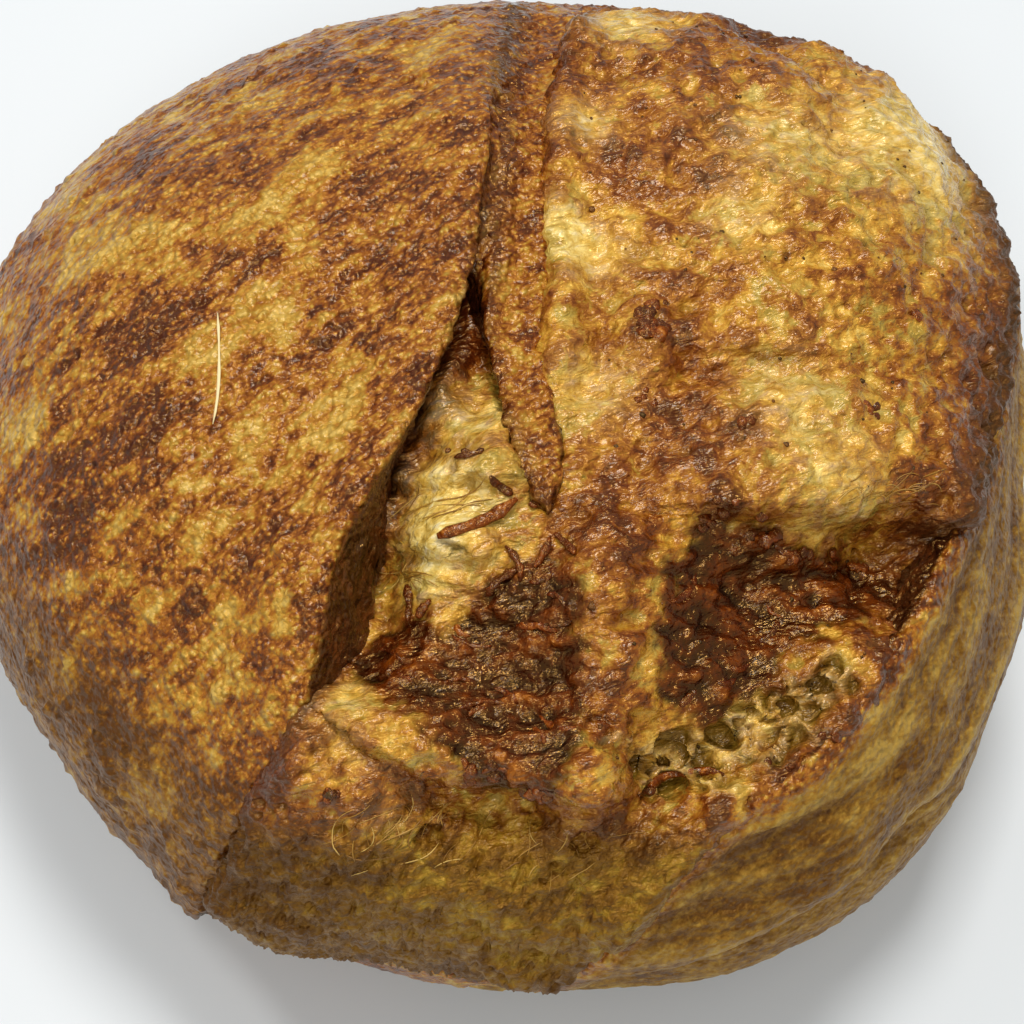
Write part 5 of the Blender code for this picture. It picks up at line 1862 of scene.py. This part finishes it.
# %% [markdown]
# ## Into the frame
#
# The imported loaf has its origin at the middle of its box, so what was made here is moved by the same amount.

# %% Move the pieces on to the CAD loaf
pieces = [crust, torn_crumb, shreds, lumps, threads, loose_thread, specks, crags]
lows = np.min([points_of(piece.data).min(axis=0) for piece in pieces], axis=0)
highs = np.max([points_of(piece.data).max(axis=0) for piece in pieces], axis=0)
shift = np.array((low + high) / 2) - (lows + highs) / 2
shift[2] = 0.0
print("shift in mm:", (shift * 1000).round(2), "size in mm:", ((highs - lows) * 1000).round(1))
for piece in pieces:
    moved = points_of(piece.data) + shift
    moved[:, 2] = np.maximum(moved[:, 2], 0.0)
    move_points(piece.data, moved)
    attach(piece, "root")
    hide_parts("loaf")

# %% [markdown]
# ## Floor, light and camera
#
# The loaf stands on a plain pale board, in soft light from above and behind, as under a kitchen window.

# %% Floor
FLOOR_SIZE = 3.0
FLOOR_COLOUR = "#e2ebf7"


def plain_floor():
    mesh = bpy.data.meshes.new("floor")
    shape = bmesh.new()
    bmesh.ops.create_grid(shape, x_segments=1, y_segments=1, size=FLOOR_SIZE)
    shape.to_mesh(mesh)
    shape.free()
    floor = bpy.data.objects.new("floor", mesh)
    bpy.context.scene.collection.objects.link(floor)
    dress(floor, plain_finish("white_board", FLOOR_COLOUR, 0.6))


plain_floor()
print("half width of the floor in metres:", FLOOR_SIZE)


# %% Lights
WARM = (1.0, 0.95, 0.86)
ROOM_COLOUR = (1.0, 0.96, 0.88, 1.0)
ROOM_LIGHT = 0.40
# name, place in metres, width in metres, power in watts
SOFT_LIGHTS = (
    ("window_above", (0.08, 0.24, 0.97), 0.28, 5.4),
    ("lamp_left", (-0.45, 0.20, 0.80), 0.14, 1.5),
    ("fill_front", (-0.1, -0.75, 0.85), 0.3, 2.8),
)


def soft_light(name, place, width, power):
    light = bpy.data.lights.new(name, "AREA")
    light.energy = power
    light.size = width
    light.color = WARM
    made = bpy.data.objects.new(name, light)
    made.location = place
    made.rotation_euler = (-Vector(place)).to_track_quat("-Z", "Y").to_euler()
    bpy.context.scene.collection.objects.link(made)


for settings in SOFT_LIGHTS:
    soft_light(*settings)
world = bpy.data.worlds.new("soft_room")
bpy.context.scene.world = world
world.use_nodes = True
world.node_tree.nodes["Background"].inputs["Color"].default_value = ROOM_COLOUR
world.node_tree.nodes["Background"].inputs["Strength"].default_value = ROOM_LIGHT
bpy.context.scene.view_settings.view_transform = "Standard"
print("lights:", [name for name, *_ in SOFT_LIGHTS])

# %% Camera, 62 degrees above the board
CAMERA_RISE = 62.0
CAMERA_DISTANCE = 0.46
CAMERA_LENS = 76.0
CAMERA_TARGET = Vector((0.0012, -0.0153, 0.045)) + Vector(shift)


def main_camera():
    camera = bpy.data.cameras.new("camera")
    camera.lens = CAMERA_LENS
    camera.clip_start = 0.01
    made = bpy.data.objects.new("camera", camera)
    rise = math.radians(CAMERA_RISE)
    back = Vector((0, -math.cos(rise), math.sin(rise)))
    made.location = CAMERA_TARGET + CAMERA_DISTANCE * back
    made.rotation_euler = (-back).to_track_quat("-Z", "Y").to_euler()
    bpy.context.scene.collection.objects.link(made)
    bpy.context.scene.camera = made


main_camera()
print("camera in metres:", [round(axis, 3) for axis in bpy.context.scene.camera.location])
